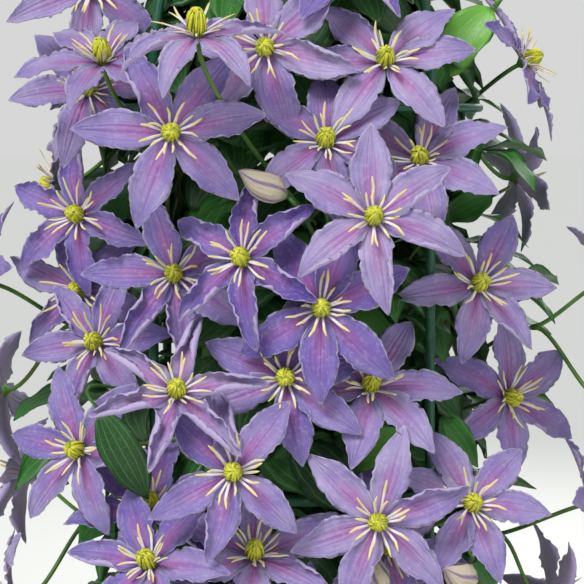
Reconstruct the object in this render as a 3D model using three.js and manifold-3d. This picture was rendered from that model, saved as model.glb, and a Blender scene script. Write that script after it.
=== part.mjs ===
// A potted clematis: vines with trifoliate leaves climb a round rod support in a plain pot, and carry
// star-shaped blooms of six tepals round a tuft of stamens. Millimetres, +Z up, the pot's foot on Z = 0.
import * as THREE from "three";
import { mergeVertices } from "three/addons/utils/BufferGeometryUtils.js";
import Module from "manifold-3d";

const wasm = await Module();
wasm.setup();

const RAD = Math.PI / 180;
const SEED = 7;
const GAP = 0.3;
const CLEAR = 0.6;

// Pot and soil
const POT_HEIGHT = 230;
const POT_SIDES = 24;
const POT_FOOT_RADIUS = 98;
const POT_TOP_RADIUS = 130;
const POT_WALL = 8;
const POT_FLOOR = 12;
const RIM_HEIGHT = 36;
const RIM_PROUD = 6;
const EDGE_ROUND = 3;
const DRAIN_COUNT = 3;
const DRAIN_RADIUS = 8;
const DRAIN_SIDES = 8;
const DRAIN_CIRCLE = 48;
const SOIL_TOP = 205;
const SOIL_RINGS = [40, 82];
const SOIL_ROUGH = 3.5;
const SOIL_EDGE_DROP = 4;

// Support: four legs, welded rings, a domed top
const ROD_RADIUS = 2.5;
const ROD_SIDES = 4;
const LEG_COUNT = 4;
const LEG_FOOT_Z = 160;
const RING_HEIGHTS = [345, 543];
const RING_SIDES = 16;
const RING_RADIUS = 100;
const RING_THIN = 0.9;
const DOME_START_Z = 556;
const DOME_HEIGHT = 132;
const DOME_STEPS = 5;
const FINIAL_RADIUS = 7;

// Vines
const VINE_COUNT = 5;
const VINE_FOOT_Z = 168;
const VINE_BEND_Z = 225;
const VINE_TOP_Z = 655;
const NODE_FIRST_Z = 238;
const NODE_SPACING = 34;
const NODE_COUNT = 13;
const NODE_HALF = 1.6;
const VINE_SIDES = 4;
const VINE_TWIST = 110 * RAD;
const VINE_FOOT_RADIUS = 3;
const VINE_TIP_RADIUS = 1.5;
const VINE_FOOT_CIRCLE = 34;
const VINE_BULGE = 50;
const VINE_WANDER = 4;

// View that the front blooms are laid out in: half a millimetre to a pixel at the plant's front
const PIXEL = 0.5;
const VIEW_MIDDLE = 292;
const AIM = new THREE.Vector3(0, -100, 451);
const EYE = new THREE.Vector3(0, -1400, 541);

// Bloom
const HUB_RADIUS = 4.6;
const HUB_UNDER = 2.6;
const UNDER_RADIUS = 3.9;
const BAND_RADIUS = 4.4;
const ROOT_RADIUS = 4;
const TEPAL_COUNT = 6;
const BLADE_THICKNESS = 1.1;
const TEPAL_WIDTH = 0.215;
const TEPAL_CHANNEL = 0.2;
const BAND_TOP = 1.8;
const BOSS_RADIUS = 4.3;
const BOSS_SHOULDER = 6.4;
const BOSS_TOP = 9.6;
const STAMEN_LENGTH = 18;
const STAMEN_RISE = 24 * RAD;
const STAMEN_FOOT_Z = 1;
const STALK_RADIUS = 1.2;
const STALK_SIDES = 3;
const STALK_STEPS = 3;
const STALK_LEAD = 14;
const STALK_LEAD_UP = 9;
const FINE_STATIONS = [0.36, 0.7];
const PLAIN_STATIONS = [0.48];
const CANOPY_RADIUS = 112;
const CANOPY_LEAST_DEPTH = 34;
const PUSH = 2;
const MOST_PUSHES = 60;
// A front bloom's hub lies this far before those of the blooms that it may cross: its distance from them in
// the view is under this part of the two tepals' lengths
const COVER = 1;
const CROSS_REACH = 0.58;

// Columns: pixel across, pixel down, face turned right, face turned up (parts of 1), spin in degrees, tepal
// length in mm, slope of a tepal at its root and at its tip in degrees. Blooms at the back come first.
const FRONT_BLOOMS = [
  [206, 636, -0.15, 0.2, 50, 39, 16, -24],
  [304, 645, 0.05, 0.15, 25, 40, 14, -22],
  [404, 634, 0.2, 0.2, 5, 39, 16, -24],
  [150, 508, 0.0, 0.62, 20, 42, 22, -8],
  [388, 548, 0.1, 0.25, 345, 43, 14, -22],
  [88, 90, 0.15, 0.35, 10, 40, 16, -20],
  [92, -12, 0.1, 0.1, 20, 42, 12, -24],
  [508, 398, 0.45, 0.1, 30, 42, 14, -24],
  [80, 450, -0.45, 0.1, 350, 41, 14, -24],
  [420, 160, -0.1, 0.35, 27, 43, 18, -20],
  [385, 62, 0.0, 0.42, 358, 44, 16, -24],
  [103, 62, -0.1, 0.8, 15, 41, 20, -20],
  [80, 290, -0.3, 0.0, 38, 40, 12, -20],
  [78, 215, -0.3, 0.1, 35, 40, 14, -20],
  [370, 388, 0.08, 0.5, 14, 44, 18, -26],
  [285, 378, 0.0, 0.12, 20, 43, 14, -24],
  [478, 285, 0.2, 0.3, 5, 41, 16, -24],
  [96, 343, -0.25, 0.2, 5, 38, 16, -20],
  [471, 505, 0.15, 0.32, 350, 40, 16, -24],
  [255, 556, 0.0, 0.6, 30, 44, 20, -14],
  [150, 564, -0.3, 0.5, 345, 42, 18, -20],
  [174, 275, 0.0, 0.18, 40, 43, 14, -30],
  [326, 143, 0.0, 0.42, 45, 42, 20, -18],
  [266, 48, -0.15, 0.05, 345, 46, 12, -28],
  [171, 133, 0.0, 0.05, 12, 45, 14, -26],
  [197, 36, -0.05, 0.9, 20, 40, 4, -56],
  [233, 473, 0.0, 0.2, 12, 42, 14, -26],
  [177, 393, 0.0, 0.42, 17, 42, 18, -20],
  [321, 309, 0.0, 0.12, 15, 46, 12, -26],
  [243, 259, -0.28, 0.2, 29, 42, 16, -28],
  [378, 522, 0.0, 0.05, 17, 44, 8, -16],
  [373, 218, 0.04, 0.25, 33, 46, 14, -30],
];

// Rows of pairs of blooms on forked stalks, round the sides, the back and the top: height, turn of the first
// pair and from one to the next in degrees (0 is the front), how many, radius, and how far they look up
const SIDE_ROWS = [
  { z: 302, start: 95, step: 85, count: 3, radius: 112, lift: 4 },
  { z: 418, start: 88, step: 92, count: 3, radius: 112, lift: 10 },
  { z: 532, start: 100, step: 80, count: 3, radius: 104, lift: 18 },
  { z: 630, start: 30, step: 120, count: 3, radius: 70, lift: 48 },
];
const PAIR_ACROSS = 27;
const PAIR_UP = 31;
const PAIR_STEP = 12;
const PAIR_LENGTH = 41;
const PAIR_PUSH = 3;
const PAIR_SPLAY = 0.28;
const PAIR_NOD = 0.2;
const PAIR_ROOT_SLOPE = 13;
const PAIR_TIP_SLOPE = -22;
const FORK_BEHIND = 34;
const FORK_BELOW = 14;

// Buds: pixel across, pixel down, the direction of the tip across and up in the view, length, radius
const BUD_DEPTH = -92;
const BUDS = [
  [276, 186, -0.9, 0.4, 27, 5.6],
  [474, 582, -0.7, 0.3, 23, 6],
  [379, 590, -0.2, 0.85, 20, 5.5],
];

// Large leaves between the front blooms: pixel of the root across and down, pixel of the tip, width as a part
// of the length, how far behind the canopy's front the root lies in mm, how far the tip comes forward in mm
const FRONT_LEAVES = [
  [100, 412, 148, 503, 0.4, -30, 6],
  [332, 436, 262, 484, 0.5, 26, 4],
  [342, 468, 404, 428, 0.5, 22, 6],
  [352, 302, 404, 352, 0.42, 34, 4],
  [440, 292, 404, 346, 0.44, 36, 6],
  [492, 8, 428, 82, 0.5, 30, 4],
  [492, 196, 440, 222, 0.55, 30, 4],
  [176, 84, 128, 60, 0.5, 40, 4],
  [300, 232, 322, 184, 0.45, 50, 4],
  [150, 352, 132, 318, 0.6, 44, 4],
  [432, 408, 476, 468, 0.42, 34, 4],
  [318, 470, 300, 512, 0.6, 40, 4],
  [222, 190, 252, 140, 0.5, 50, 4],
  [300, 66, 340, 30, 0.5, 46, 4],
  [212, 330, 246, 300, 0.5, 44, 4],
  [474, 560, 496, 600, 0.5, 36, 4],
  [130, 182, 104, 236, 0.45, 44, 4],
  [214, 556, 176, 600, 0.5, 44, 4],
];

// Leaves: the wall of front blooms hides those right behind it, so only a share of them grows there
const FRONT_HIDDEN = 28;
const FRONT_LOW = 300;
const HIDDEN_SHARE = 0.3;
const LEAF_SEED = 1000;
const LEAF_VARIANTS = 6;
const LEAF_TURN = 24;
const LEAF_TURN_RANGE = 50;
const LEAF_TURN_STEP = 17;
const LEAF_RISE = 26;
const LEAF_RISE_STEP = 11;
const PETIOLE_LENGTH = 26;
const PETIOLE_RANGE = 18;
const PETIOLE_RADIUS = 0.9;
const LEAFLET_LENGTH = 46;
const LEAFLET_RANGE = 14;
const LEAFLET_WIDTH = 0.27;
const SIDE_LEAFLET = 0.84;
const SIDE_LEAFLET_TURN = 75;
const LEAFLET_FOLD = 0.22;
const LEAFLET_ROOT_SLOPE = 4;
const LEAFLET_TIP_SLOPE = -44;
const LEAF_SHIFT = 0.92;
const FRONT_LEAF_ROOT_SLOPE = 12;
const FRONT_LEAF_TIP_SLOPE = -26;
const LEAF_HUB = 2.2;
const LEAF_STATIONS = [0.34, 0.68];

// A repeatable draw from 0 to 1 for a row and a column of a table
function draw(row, column) {
  const v = Math.sin(row * 12.9898 + column * 78.233 + SEED) * 43758.5453;
  return v - Math.floor(v);
}

function spread(row, column, amount) {
  return (2 * draw(row, column) - 1) * amount;
}

const vec = (x, y, z) => new THREE.Vector3(x, y, z);
const UP = vec(0, 0, 1);
const along = (p, d, length) => p.clone().addScaledVector(d, length);

// A closed solid from points and the triangles between them
function solidOf(points, triangles) {
  const flat = new Float32Array(points.length * 3);
  points.forEach((p, i) => p.toArray(flat, i * 3));
  const triVerts = new Uint32Array(triangles.flat());
  return new wasm.Manifold(new wasm.Mesh({ numProp: 3, vertProperties: flat, triVerts }));
}

function solidOfGeometry(geometry) {
  const bare = geometry.clone();
  bare.deleteAttribute("normal");
  bare.deleteAttribute("uv");
  const merged = mergeVertices(bare, 1e-3);
  const mesh = new wasm.Mesh({
    numProp: 3,
    vertProperties: new Float32Array(merged.attributes.position.array),
    triVerts: new Uint32Array(merged.index.array),
  });
  return new wasm.Manifold(mesh);
}

function geometryOf(solid) {
  const mesh = solid.getMesh();
  const geometry = new THREE.BufferGeometry();
  geometry.setAttribute("position", new THREE.BufferAttribute(new Float32Array(mesh.vertProperties), 3));
  geometry.setIndex(new THREE.BufferAttribute(new Uint32Array(mesh.triVerts), 1));
  return geometry;
}

const joined = (solids) => wasm.Manifold.union(solids);

// Whether two solids come nearer than a gap
function near(a, b, gap) {
  const p = a.boundingBox();
  const q = b.boundingBox();
  for (let i = 0; i < 3; i++) {
    if (p.min[i] > q.max[i] + gap || q.min[i] > p.max[i] + gap) return false;
  }
  return a.minGap(b, gap) < gap * 0.999;
}

const clearOf = (solid, others, gap = CLEAR) => others.every((other) => !near(solid, other, gap));

// Rings of points round a path, the first corner turned towards a direction
function ringsAlong(path, radii, sides, towards) {
  let side = towards;
  return path.map((p, i) => {
    const back = path[Math.max(0, i - 1)];
    const ahead = path[Math.min(path.length - 1, i + 1)];
    const way = ahead.clone().sub(back).normalize();
    if (!side) side = Math.abs(way.z) < 0.9 ? UP : vec(1, 0, 0);
    side = side.clone().addScaledVector(way, -side.dot(way)).normalize();
    const across = way.clone().cross(side);
    return Array.from({ length: sides }, (_, k) => {
      const turn = (2 * Math.PI * k) / sides;
      return along(along(p, side, radii[i] * Math.cos(turn)), across, radii[i] * Math.sin(turn));
    });
  });
}

// The wall between rings of points, which are numbered
function wallBetween(rows, triangles) {
  for (let i = 0; i + 1 < rows.length; i++) {
    const sides = rows[i].length;
    for (let k = 0; k < sides; k++) {
      const next = (k + 1) % sides;
      const [a, b, c, d] = [rows[i][k], rows[i][next], rows[i + 1][next], rows[i + 1][k]];
      triangles.push([a, b, c], [a, c, d]);
    }
  }
}

// A round bar through the points, with a radius at each and flat ends
function bar(path, radii, sides, towards) {
  const points = [];
  const triangles = [];
  const rows = ringsAlong(path, radii, sides, towards).map((row) => row.map((p) => points.push(p) - 1));
  wallBetween(rows, triangles);
  for (let k = 1; k < sides - 1; k++) {
    triangles.push([rows[0][0], rows[0][k + 1], rows[0][k]]);
    triangles.push([rows.at(-1)[0], rows.at(-1)[k], rows.at(-1)[k + 1]]);
  }
  return solidOf(points, triangles);
}

// Points along the curve of four control points
const curve = (controls, steps) => new THREE.CubicBezierCurve3(...controls).getPoints(steps);

// Half width of a tepal at a share of its length: a narrow root, widest in the middle, a pointed tip
function tepalHalf(s) {
  return 0.2 * (1 - s) ** 2 + Math.sin(Math.PI * s ** 0.9) ** 0.9;
}

// The middle line of a blade is an arc whose slope turns evenly from root to tip: distance out, height, slope
function arc(length, root, tip, s) {
  const turn = tip - root || 1e-6;
  const slope = root + turn * s;
  return [
    (length * (Math.sin(slope) - Math.sin(root))) / turn,
    (-length * (Math.cos(slope) - Math.cos(root))) / turn,
    slope,
  ];
}

// The four corners of a tepal's lens-shaped section: edge, top, edge, under
function tepalSection(tepal, s) {
  const [out, height, slope] = arc(tepal.length, tepal.root, tepal.tip, s);
  const half = tepal.width * tepalHalf(s);
  const at = (across, lift) => {
    const r = ROOT_RADIUS + out - Math.sin(slope) * lift;
    const z = height + Math.cos(slope) * lift;
    return vec(
      r * Math.cos(tepal.turn) - across * Math.sin(tepal.turn),
      r * Math.sin(tepal.turn) + across * Math.cos(tepal.turn),
      z,
    );
  };
  const edge = TEPAL_CHANNEL * half;
  return [at(-half, edge), at(0, BLADE_THICKNESS / 2), at(half, edge), at(0, -BLADE_THICKNESS / 2)];
}

// The skin of a blade from its first section on to its tip, split alike on both faces
function bladeTriangles(rows, end) {
  const triangles = [];
  for (let i = 0; i + 1 < rows.length; i++) {
    const [a, t, b, u] = rows[i];
    const [a2, t2, b2, u2] = rows[i + 1];
    triangles.push([a, a2, t2], [a, t2, t], [b, t, t2], [b, t2, b2]);
    triangles.push([a, u2, a2], [a, u, u2], [b, u2, u], [b, b2, u2]);
  }
  const [a, t, b, u] = rows.at(-1);
  triangles.push([a, end, t], [b, t, end], [a, u, end], [b, end, u]);
  return triangles;
}

// The tepals of a bloom, each a little different from the rest
function tepalsOf(bloom) {
  return Array.from({ length: TEPAL_COUNT }, (_, k) => ({
    turn: (k * 2 * Math.PI) / TEPAL_COUNT + spread(bloom.seed, k, 2 * RAD),
    length: bloom.length * (1 + spread(bloom.seed, k + 10, 0.05)),
    width: bloom.length * TEPAL_WIDTH * (1 + spread(bloom.seed, k + 20, 0.04)),
    root: bloom.root,
    tip: bloom.tip + spread(bloom.seed, k + 30, 8 * RAD),
  }));
}

// A bloom facing +Z in its own frame: a hub, tepals, a band of stamens and a domed tuft, in one skin. With a
// stalk, which is a row of places, its underside runs on down a three-sided stalk.
function bloomSolid(bloom, stations, stalk) {
  const points = [];
  const triangles = [];
  const put = (p) => points.push(p.applyMatrix4(bloom.matrix)) - 1;
  const n = TEPAL_COUNT;
  const step = (2 * Math.PI) / n;
  const round = (radius, z, turn) => put(vec(radius * Math.cos(turn), radius * Math.sin(turn), z));
  const places = Array.from({ length: n }, (_, k) => k * step);
  const ring = (radius, z, start) => places.map((turn) => round(radius, z, turn + start));
  const hub = ring(HUB_RADIUS, 0, step / 2);
  const under = ring(UNDER_RADIUS, -HUB_UNDER / 2, 0);
  const band = ring(BAND_RADIUS, BAND_TOP, 0);
  const shoulder = ring(BOSS_RADIUS, BOSS_SHOULDER, step / 2);
  const top = put(vec(0, 0, BOSS_TOP));
  tepalsOf(bloom).forEach((tepal, k) => {
    const a = hub[(k + n - 1) % n];
    const b = hub[k];
    const rows = stations.map((s) => tepalSection(tepal, s).map(put));
    const [out, height] = arc(tepal.length, tepal.root, tepal.tip, 1);
    const r = ROOT_RADIUS + out;
    const end = round(r, height, tepal.turn);
    const [a1, t1, b1, u1] = rows[0];
    triangles.push([a, t1, b], [a, a1, t1], [b, t1, b1]);
    triangles.push([a, u1, a1], [a, under[k], u1], [b, b1, u1], [b, u1, under[k]]);
    triangles.push(...bladeTriangles(rows, end));
  });
  for (let k = 0; k < n; k++) {
    const [before, next] = [(k + n - 1) % n, (k + 1) % n];
    const lift = bloom.root + STAMEN_RISE + spread(bloom.seed, 40 + 4 * k, 5 * RAD);
    const length = STAMEN_LENGTH * (1 + spread(bloom.seed, 41 + 4 * k, 0.16));
    const tip = round(length * Math.cos(lift), STAMEN_FOOT_Z + length * Math.sin(lift), k * step);
    triangles.push([hub[before], hub[k], tip], [hub[k], band[k], tip], [band[k], hub[before], tip]);
    triangles.push([band[k], hub[k], band[next]]);
    triangles.push([band[k], band[next], shoulder[k]], [shoulder[k], band[next], shoulder[next]]);
    triangles.push([shoulder[k], shoulder[next], top]);
  }
  const rim = under.flatMap((_, k) => [under[(n - k) % n], hub[n - k - 1]]);
  if (stalk) triangles.push(...neck(rim, stalk, bloom.corner, points));
  else {
    const pole = put(vec(0, 0, -HUB_UNDER));
    triangles.push(...rim.map((p, j) => [p, rim[(j + 1) % rim.length], pole]));
  }
  return solidOf(points, triangles);
}

// The underside of a bloom that narrows from its rim to a three-sided stalk, with the stalk
function neck(rim, stalk, corner, points) {
  const triangles = [];
  const share = rim.length / STALK_SIDES;
  const rings = ringsAlong(stalk, stalk.map(() => STALK_RADIUS), STALK_SIDES, corner);
  const rows = rings.map((ring) => ring.map((p) => points.push(p) - 1));
  for (let m = 0; m < STALK_SIDES; m++) {
    const first = m * share;
    const last = (first + share) % rim.length;
    for (let j = first; j < first + share; j++) {
      triangles.push([rim[j], rim[(j + 1) % rim.length], rows[0][m]]);
    }
    triangles.push([rim[last], rows[0][(m + 1) % STALK_SIDES], rows[0][m]]);
  }
  wallBetween(rows, triangles);
  triangles.push(rows.at(-1));
  return triangles;
}

// A frame whose Z is the way a bloom faces and whose X is its first tepal's direction
function facing(place, face, first) {
  const x = first.clone().addScaledVector(face, -first.dot(face)).normalize();
  return new THREE.Matrix4().makeBasis(x, face.clone().cross(x), face).setPosition(place);
}

// The view's own axes, and a point on the ray of a pixel at a given depth
const VIEW_IN = AIM.clone().sub(EYE).normalize();
const VIEW_RIGHT = vec(1, 0, 0);
const VIEW_UP = VIEW_RIGHT.clone().cross(VIEW_IN);
const VIEW_FOCAL = AIM.distanceTo(EYE) / PIXEL;

function rayPoint(across, down, depth) {
  const ray = VIEW_IN.clone()
    .multiplyScalar(VIEW_FOCAL)
    .addScaledVector(VIEW_RIGHT, across - VIEW_MIDDLE)
    .addScaledVector(VIEW_UP, VIEW_MIDDLE - down);
  return along(EYE, ray, (depth - EYE.y) / ray.y);
}

function viewDirection(right, up) {
  const near = Math.sqrt(Math.max(0, 1 - right * right - up * up));
  return along(along(VIEW_IN.clone().multiplyScalar(-near), VIEW_RIGHT, right), VIEW_UP, up);
}

// Depth of the canopy's front at a distance from its middle
function canopyDepth(x) {
  return -Math.sqrt(Math.max(CANOPY_RADIUS ** 2 - x * x, CANOPY_LEAST_DEPTH ** 2));
}

// Pot: one turned profile with a rim band and a rounded foot, less its drain holes
function makePot() {
  const slope = (POT_TOP_RADIUS - POT_FOOT_RADIUS) / POT_HEIGHT;
  const outer = (z) => POT_FOOT_RADIUS + slope * z;
  const bandFoot = POT_HEIGHT - RIM_HEIGHT;
  const profile = [
    [0, 0],
    [POT_FOOT_RADIUS - EDGE_ROUND, 0],
    [outer(EDGE_ROUND), EDGE_ROUND],
    [outer(bandFoot), bandFoot],
    [outer(bandFoot) + RIM_PROUD, bandFoot + EDGE_ROUND],
    [POT_TOP_RADIUS + RIM_PROUD, POT_HEIGHT - EDGE_ROUND],
    [POT_TOP_RADIUS + RIM_PROUD - EDGE_ROUND, POT_HEIGHT],
    [POT_TOP_RADIUS - POT_WALL, POT_HEIGHT],
    [outer(POT_FLOOR) - POT_WALL, POT_FLOOR],
    [0, POT_FLOOR],
  ].map(([r, z]) => new THREE.Vector2(r, z));
  const body = solidOfGeometry(new THREE.LatheGeometry(profile, POT_SIDES).rotateX(Math.PI / 2));
  const drains = Array.from({ length: DRAIN_COUNT }, (_, k) => {
    const turn = (k * 2 * Math.PI) / DRAIN_COUNT;
    const hole = new THREE.CylinderGeometry(DRAIN_RADIUS, DRAIN_RADIUS, 4 * POT_FLOOR, DRAIN_SIDES);
    hole.rotateX(Math.PI / 2).translate(DRAIN_CIRCLE * Math.cos(turn), DRAIN_CIRCLE * Math.sin(turn), 0);
    return solidOfGeometry(hole);
  });
  return body.subtract(joined(drains));
}

// Soil: fills the pot, its top heaped a little and rough by a formula, with a hole for each rod and vine
function makeSoil(holes) {
  const slope = (POT_TOP_RADIUS - POT_FOOT_RADIUS) / POT_HEIGHT;
  const inner = (z) => POT_FOOT_RADIUS + slope * z - POT_WALL - 2 * GAP;
  const profile = [
    [0, POT_FLOOR + GAP],
    [inner(POT_FLOOR), POT_FLOOR + GAP],
    [inner(SOIL_TOP) - 1, SOIL_TOP - SOIL_EDGE_DROP],
    ...SOIL_RINGS.toReversed().map((r) => [r, SOIL_TOP]),
    [0, SOIL_TOP],
  ].map(([r, z]) => new THREE.Vector2(r, z));
  const geometry = new THREE.LatheGeometry(profile, POT_SIDES).rotateX(Math.PI / 2);
  const position = geometry.attributes.position;
  for (let i = 0; i < position.count; i++) {
    if (position.getZ(i) < SOIL_TOP - 0.01) continue;
    const [x, y] = [position.getX(i), position.getY(i)];
    const wave = Math.sin(x * 0.11) * Math.cos(y * 0.13) + 0.6 * Math.sin(x * 0.23 + y * 0.19);
    position.setZ(i, SOIL_TOP + SOIL_ROUGH * wave);
  }
  return solidOfGeometry(geometry).subtract(joined(holes));
}

function legPoints(turn, foot) {
  const at = (r, z) => vec(r * Math.cos(turn), r * Math.sin(turn), z);
  const points = [at(RING_RADIUS, foot), at(RING_RADIUS, DOME_START_Z)];
  for (let i = 1; i <= DOME_STEPS; i++) {
    const bend = ((i / DOME_STEPS) * Math.PI) / 2;
    points.push(at(RING_RADIUS * Math.cos(bend), DOME_START_Z + DOME_HEIGHT * Math.sin(bend)));
  }
  return points;
}

const legTurn = (k) => ((k + 0.5) * 2 * Math.PI) / LEG_COUNT;

function makeSupport() {
  const pieces = [];
  for (let k = 0; k < LEG_COUNT; k++) {
    const points = legPoints(legTurn(k), LEG_FOOT_Z);
    pieces.push(bar(points, points.map(() => ROD_RADIUS), ROD_SIDES));
  }
  for (const z of RING_HEIGHTS) {
    const torus = new THREE.TorusGeometry(RING_RADIUS, ROD_RADIUS * RING_THIN, ROD_SIDES, RING_SIDES);
    pieces.push(solidOfGeometry(torus.translate(0, 0, z)));
  }
  const finial = new THREE.SphereGeometry(FINIAL_RADIUS, 8, 6).rotateX(Math.PI / 2);
  pieces.push(solidOfGeometry(finial.translate(0, 0, DOME_START_Z + DOME_HEIGHT + 1)));
  return joined(pieces);
}

// Vines stand straight in the soil and then wind up inside the support: the place of one at a height
function vinePoint(vine, z) {
  const share = Math.max(0, (z - VINE_BEND_Z) / (VINE_TOP_Z - VINE_BEND_Z));
  const bulge = VINE_BULGE * Math.sin(Math.PI * Math.min(1, share * 1.12)) ** 0.8;
  const r = VINE_FOOT_CIRCLE + bulge + VINE_WANDER * Math.sin(share * 19);
  const turn = (vine * 2 * Math.PI) / VINE_COUNT + VINE_TWIST * share + 0.12 * Math.sin(share * 14);
  return vec(r * Math.cos(turn), r * Math.sin(turn), z);
}

function vineRadius(z) {
  const share = Math.max(0, (z - VINE_BEND_Z) / (VINE_TOP_Z - VINE_BEND_Z));
  return VINE_FOOT_RADIUS + (VINE_TIP_RADIUS - VINE_FOOT_RADIUS) * share;
}

// The path of a vine: its foot, a pair of places at each node, and its tip
function vinePath(vine) {
  const heights = [VINE_FOOT_Z, VINE_BEND_Z];
  for (let j = 0; j < NODE_COUNT; j++) heights.push(nodeZ(j) - NODE_HALF, nodeZ(j) + NODE_HALF);
  heights.push(VINE_TOP_Z);
  return { points: heights.map((z) => vinePoint(vine, z)), radii: heights.map(vineRadius) };
}

const nodeZ = (node) => NODE_FIRST_Z + node * NODE_SPACING;

// A vine as a skin that leaves and stalks grow out of: four faces round each node, free or taken
function makeVine(vine) {
  const { points, radii } = vinePath(vine);
  const rings = ringsAlong(points, radii, VINE_SIDES);
  const faces = [];
  for (let j = 0; j < NODE_COUNT; j++) {
    const [low, high] = [rings[2 + 2 * j], rings[3 + 2 * j]];
    for (let k = 0; k < VINE_SIDES; k++) {
      const next = (k + 1) % VINE_SIDES;
      const corners = [low[k], low[next], high[next], high[k]];
      const middle = corners.reduce((sum, p) => sum.add(p), vec(0, 0, 0)).multiplyScalar(0.25);
      const out = corners[1].clone().sub(corners[0]).cross(corners[3].clone().sub(corners[0])).normalize();
      faces.push({ vine, node: j, side: k, corners, middle, out, growth: null });
    }
  }
  return { vine, rings, faces, stem: bar(points, radii, VINE_SIDES) };
}

function vineHole(vine) {
  const ends = [VINE_FOOT_Z - GAP, VINE_BEND_Z].map((z) => vinePoint(vine, z));
  return bar(ends, ends.map(() => VINE_FOOT_RADIUS + 2 * GAP), VINE_SIDES);
}

// The whole skin of a vine: its stem, less the faces that something grows out of, with what grows there
function vineSolid({ rings, faces }) {
  const points = [];
  const triangles = [];
  const put = (p) => points.push(p) - 1;
  const rows = rings.map((ring) => ring.map(put));
  const head = rows.at(-1);
  rows.slice(0, -1).forEach((row, i) => {
    for (let k = 0; k < VINE_SIDES; k++) {
      const next = (k + 1) % VINE_SIDES;
      const base = [row[k], row[next], rows[i + 1][next], rows[i + 1][k]];
      const face = i % 2 ? null : faces[(i / 2 - 1) * VINE_SIDES + k];
      if (face?.growth) face.growth(base, put, triangles);
      else triangles.push([base[0], base[1], base[2]], [base[0], base[2], base[3]]);
    }
  });
  triangles.push([rows[0][0], rows[0][3], rows[0][2]], [rows[0][0], rows[0][2], rows[0][1]]);
  triangles.push([head[0], head[1], head[2]], [head[0], head[2], head[3]]);
  return solidOf(points, triangles);
}

// Vines by how near they pass a point at a height
function vinesNear(point, z) {
  return Array.from({ length: VINE_COUNT }, (_, v) => v).sort(
    (a, b) => vinePoint(a, z).distanceTo(point) - vinePoint(b, z).distanceTo(point),
  );
}

// The four sides of a node, the one that looks most along a direction first
function facesTowards(vines, vine, node, direction) {
  return vines[vine].faces
    .slice(node * VINE_SIDES, (node + 1) * VINE_SIDES)
    .sort((a, b) => b.out.dot(direction) - a.out.dot(direction));
}

// The ways a stalk may run from a bloom, bud or leaf down to a vine: which vine by nearness, how far down it
// joins, how it sways, which side of the node, and how far back its end leads
const STALK_WAYS = [];
for (const back of [30, 14]) {
  for (const vine of [0, 1, 2, 3, 4]) {
    for (const sway of [0, -14, 14, -30, 30]) {
      for (const down of [38, 62, 88, 18, 112, 0, 140]) {
        for (const side of [0, 1]) STALK_WAYS.push({ vine, down, sway, side, back });
      }
    }
  }
}

// The curve of a stalk: out of a side of a node, round, and up to its end from behind
function stalkControls(vines, end, face, way) {
  const node = Math.round((end.z - way.down - NODE_FIRST_Z) / NODE_SPACING);
  const kept = Math.min(NODE_COUNT - 1, Math.max(0, node));
  const vine = vinesNear(end, nodeZ(kept))[way.vine];
  const towards = end.clone().sub(vinePoint(vine, nodeZ(kept))).normalize();
  const root = facesTowards(vines, vine, kept, towards)[way.side];
  const across = vec(-root.middle.y, root.middle.x, 0).normalize();
  const lead = along(along(along(root.middle, root.out, STALK_LEAD), UP, STALK_LEAD_UP), across, way.sway);
  return { root, controls: [root.middle, lead, along(along(end, face, -way.back), across, way.sway), end] };
}

// A stalk's rings out of a side of a node: the side's own corners and then rings along the curve
function stalkRings(root, controls, steps, radius) {
  const path = curve(controls, steps);
  const towards = root.corners[0].clone().sub(root.middle);
  return ringsAlong(path, path.map(() => radius), VINE_SIDES, towards).slice(1);
}

// What a stalk adds to its vine's skin
function stalkGrowth(root, controls) {
  return (base, put, triangles) => {
    const rings = stalkRings(root, controls, STALK_STEPS, STALK_RADIUS).map((ring) => ring.map(put));
    wallBetween([base, ...rings], triangles);
    const [p, q, r, s] = rings.at(-1);
    triangles.push([p, q, r], [p, r, s]);
  };
}

// A stalk as a bar, from just off its vine, to compare with what else grows on the vine
function stalkTest(root, controls, steps, radius) {
  const path = curve(controls, steps);
  path[0] = path[0].clone().lerp(path[1], 0.25);
  return bar(path, path.map(() => radius), VINE_SIDES, root.corners[0].clone().sub(root.middle));
}

// What grows out of a side of a node, as a solid of its own
function growthSolid(root, growth) {
  const points = [];
  const triangles = [];
  const put = (p) => points.push(p) - 1;
  const base = root.corners.map(put);
  growth(base, put, triangles);
  triangles.push([base[0], base[2], base[1]], [base[0], base[3], base[2]]);
  return solidOf(points, triangles);
}

// What stands already, by the vine that it belongs to, or none. A vine's own pieces are compared without
// their feet, because those meet on the vine.
const FREE = -1;
const solidsNotOf = (standing, vine) => standing.filter((s) => s.vine !== vine).map((s) => s.solid);
const partsOf = (standing, vine) => standing.filter((s) => s.vine === vine).flatMap((s) => s.parts);

// Lets something grow out of a side of a node if it stands clear there
function grow(root, growth, parts, standing) {
  const solid = growthSolid(root, growth);
  if (!clearOf(solid, solidsNotOf(standing, root.vine), GAP)) return false;
  const own = partsOf(standing, root.vine);
  if (!parts.every((part) => clearOf(part, own, GAP))) return false;
  root.growth = growth;
  standing.push({ vine: root.vine, solid, parts });
  return true;
}

// Front blooms: each starts at the canopy's front, or just before those behind it that it crosses in the
// view, and is pushed towards the eye until it stands clear
function frontBloom(row, index) {
  const [across, down, right, up, spin, length, root, tip] = row;
  return {
    name: `bloom_${String(index + 1).padStart(2, "0")}`,
    seed: index + 1,
    length,
    root: root * RAD,
    tip: tip * RAD,
    across,
    down,
    face: viewDirection(right, up),
    first: along(VIEW_RIGHT.clone().multiplyScalar(Math.cos(spin * RAD)), VIEW_UP, Math.sin(spin * RAD)),
  };
}

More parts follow.
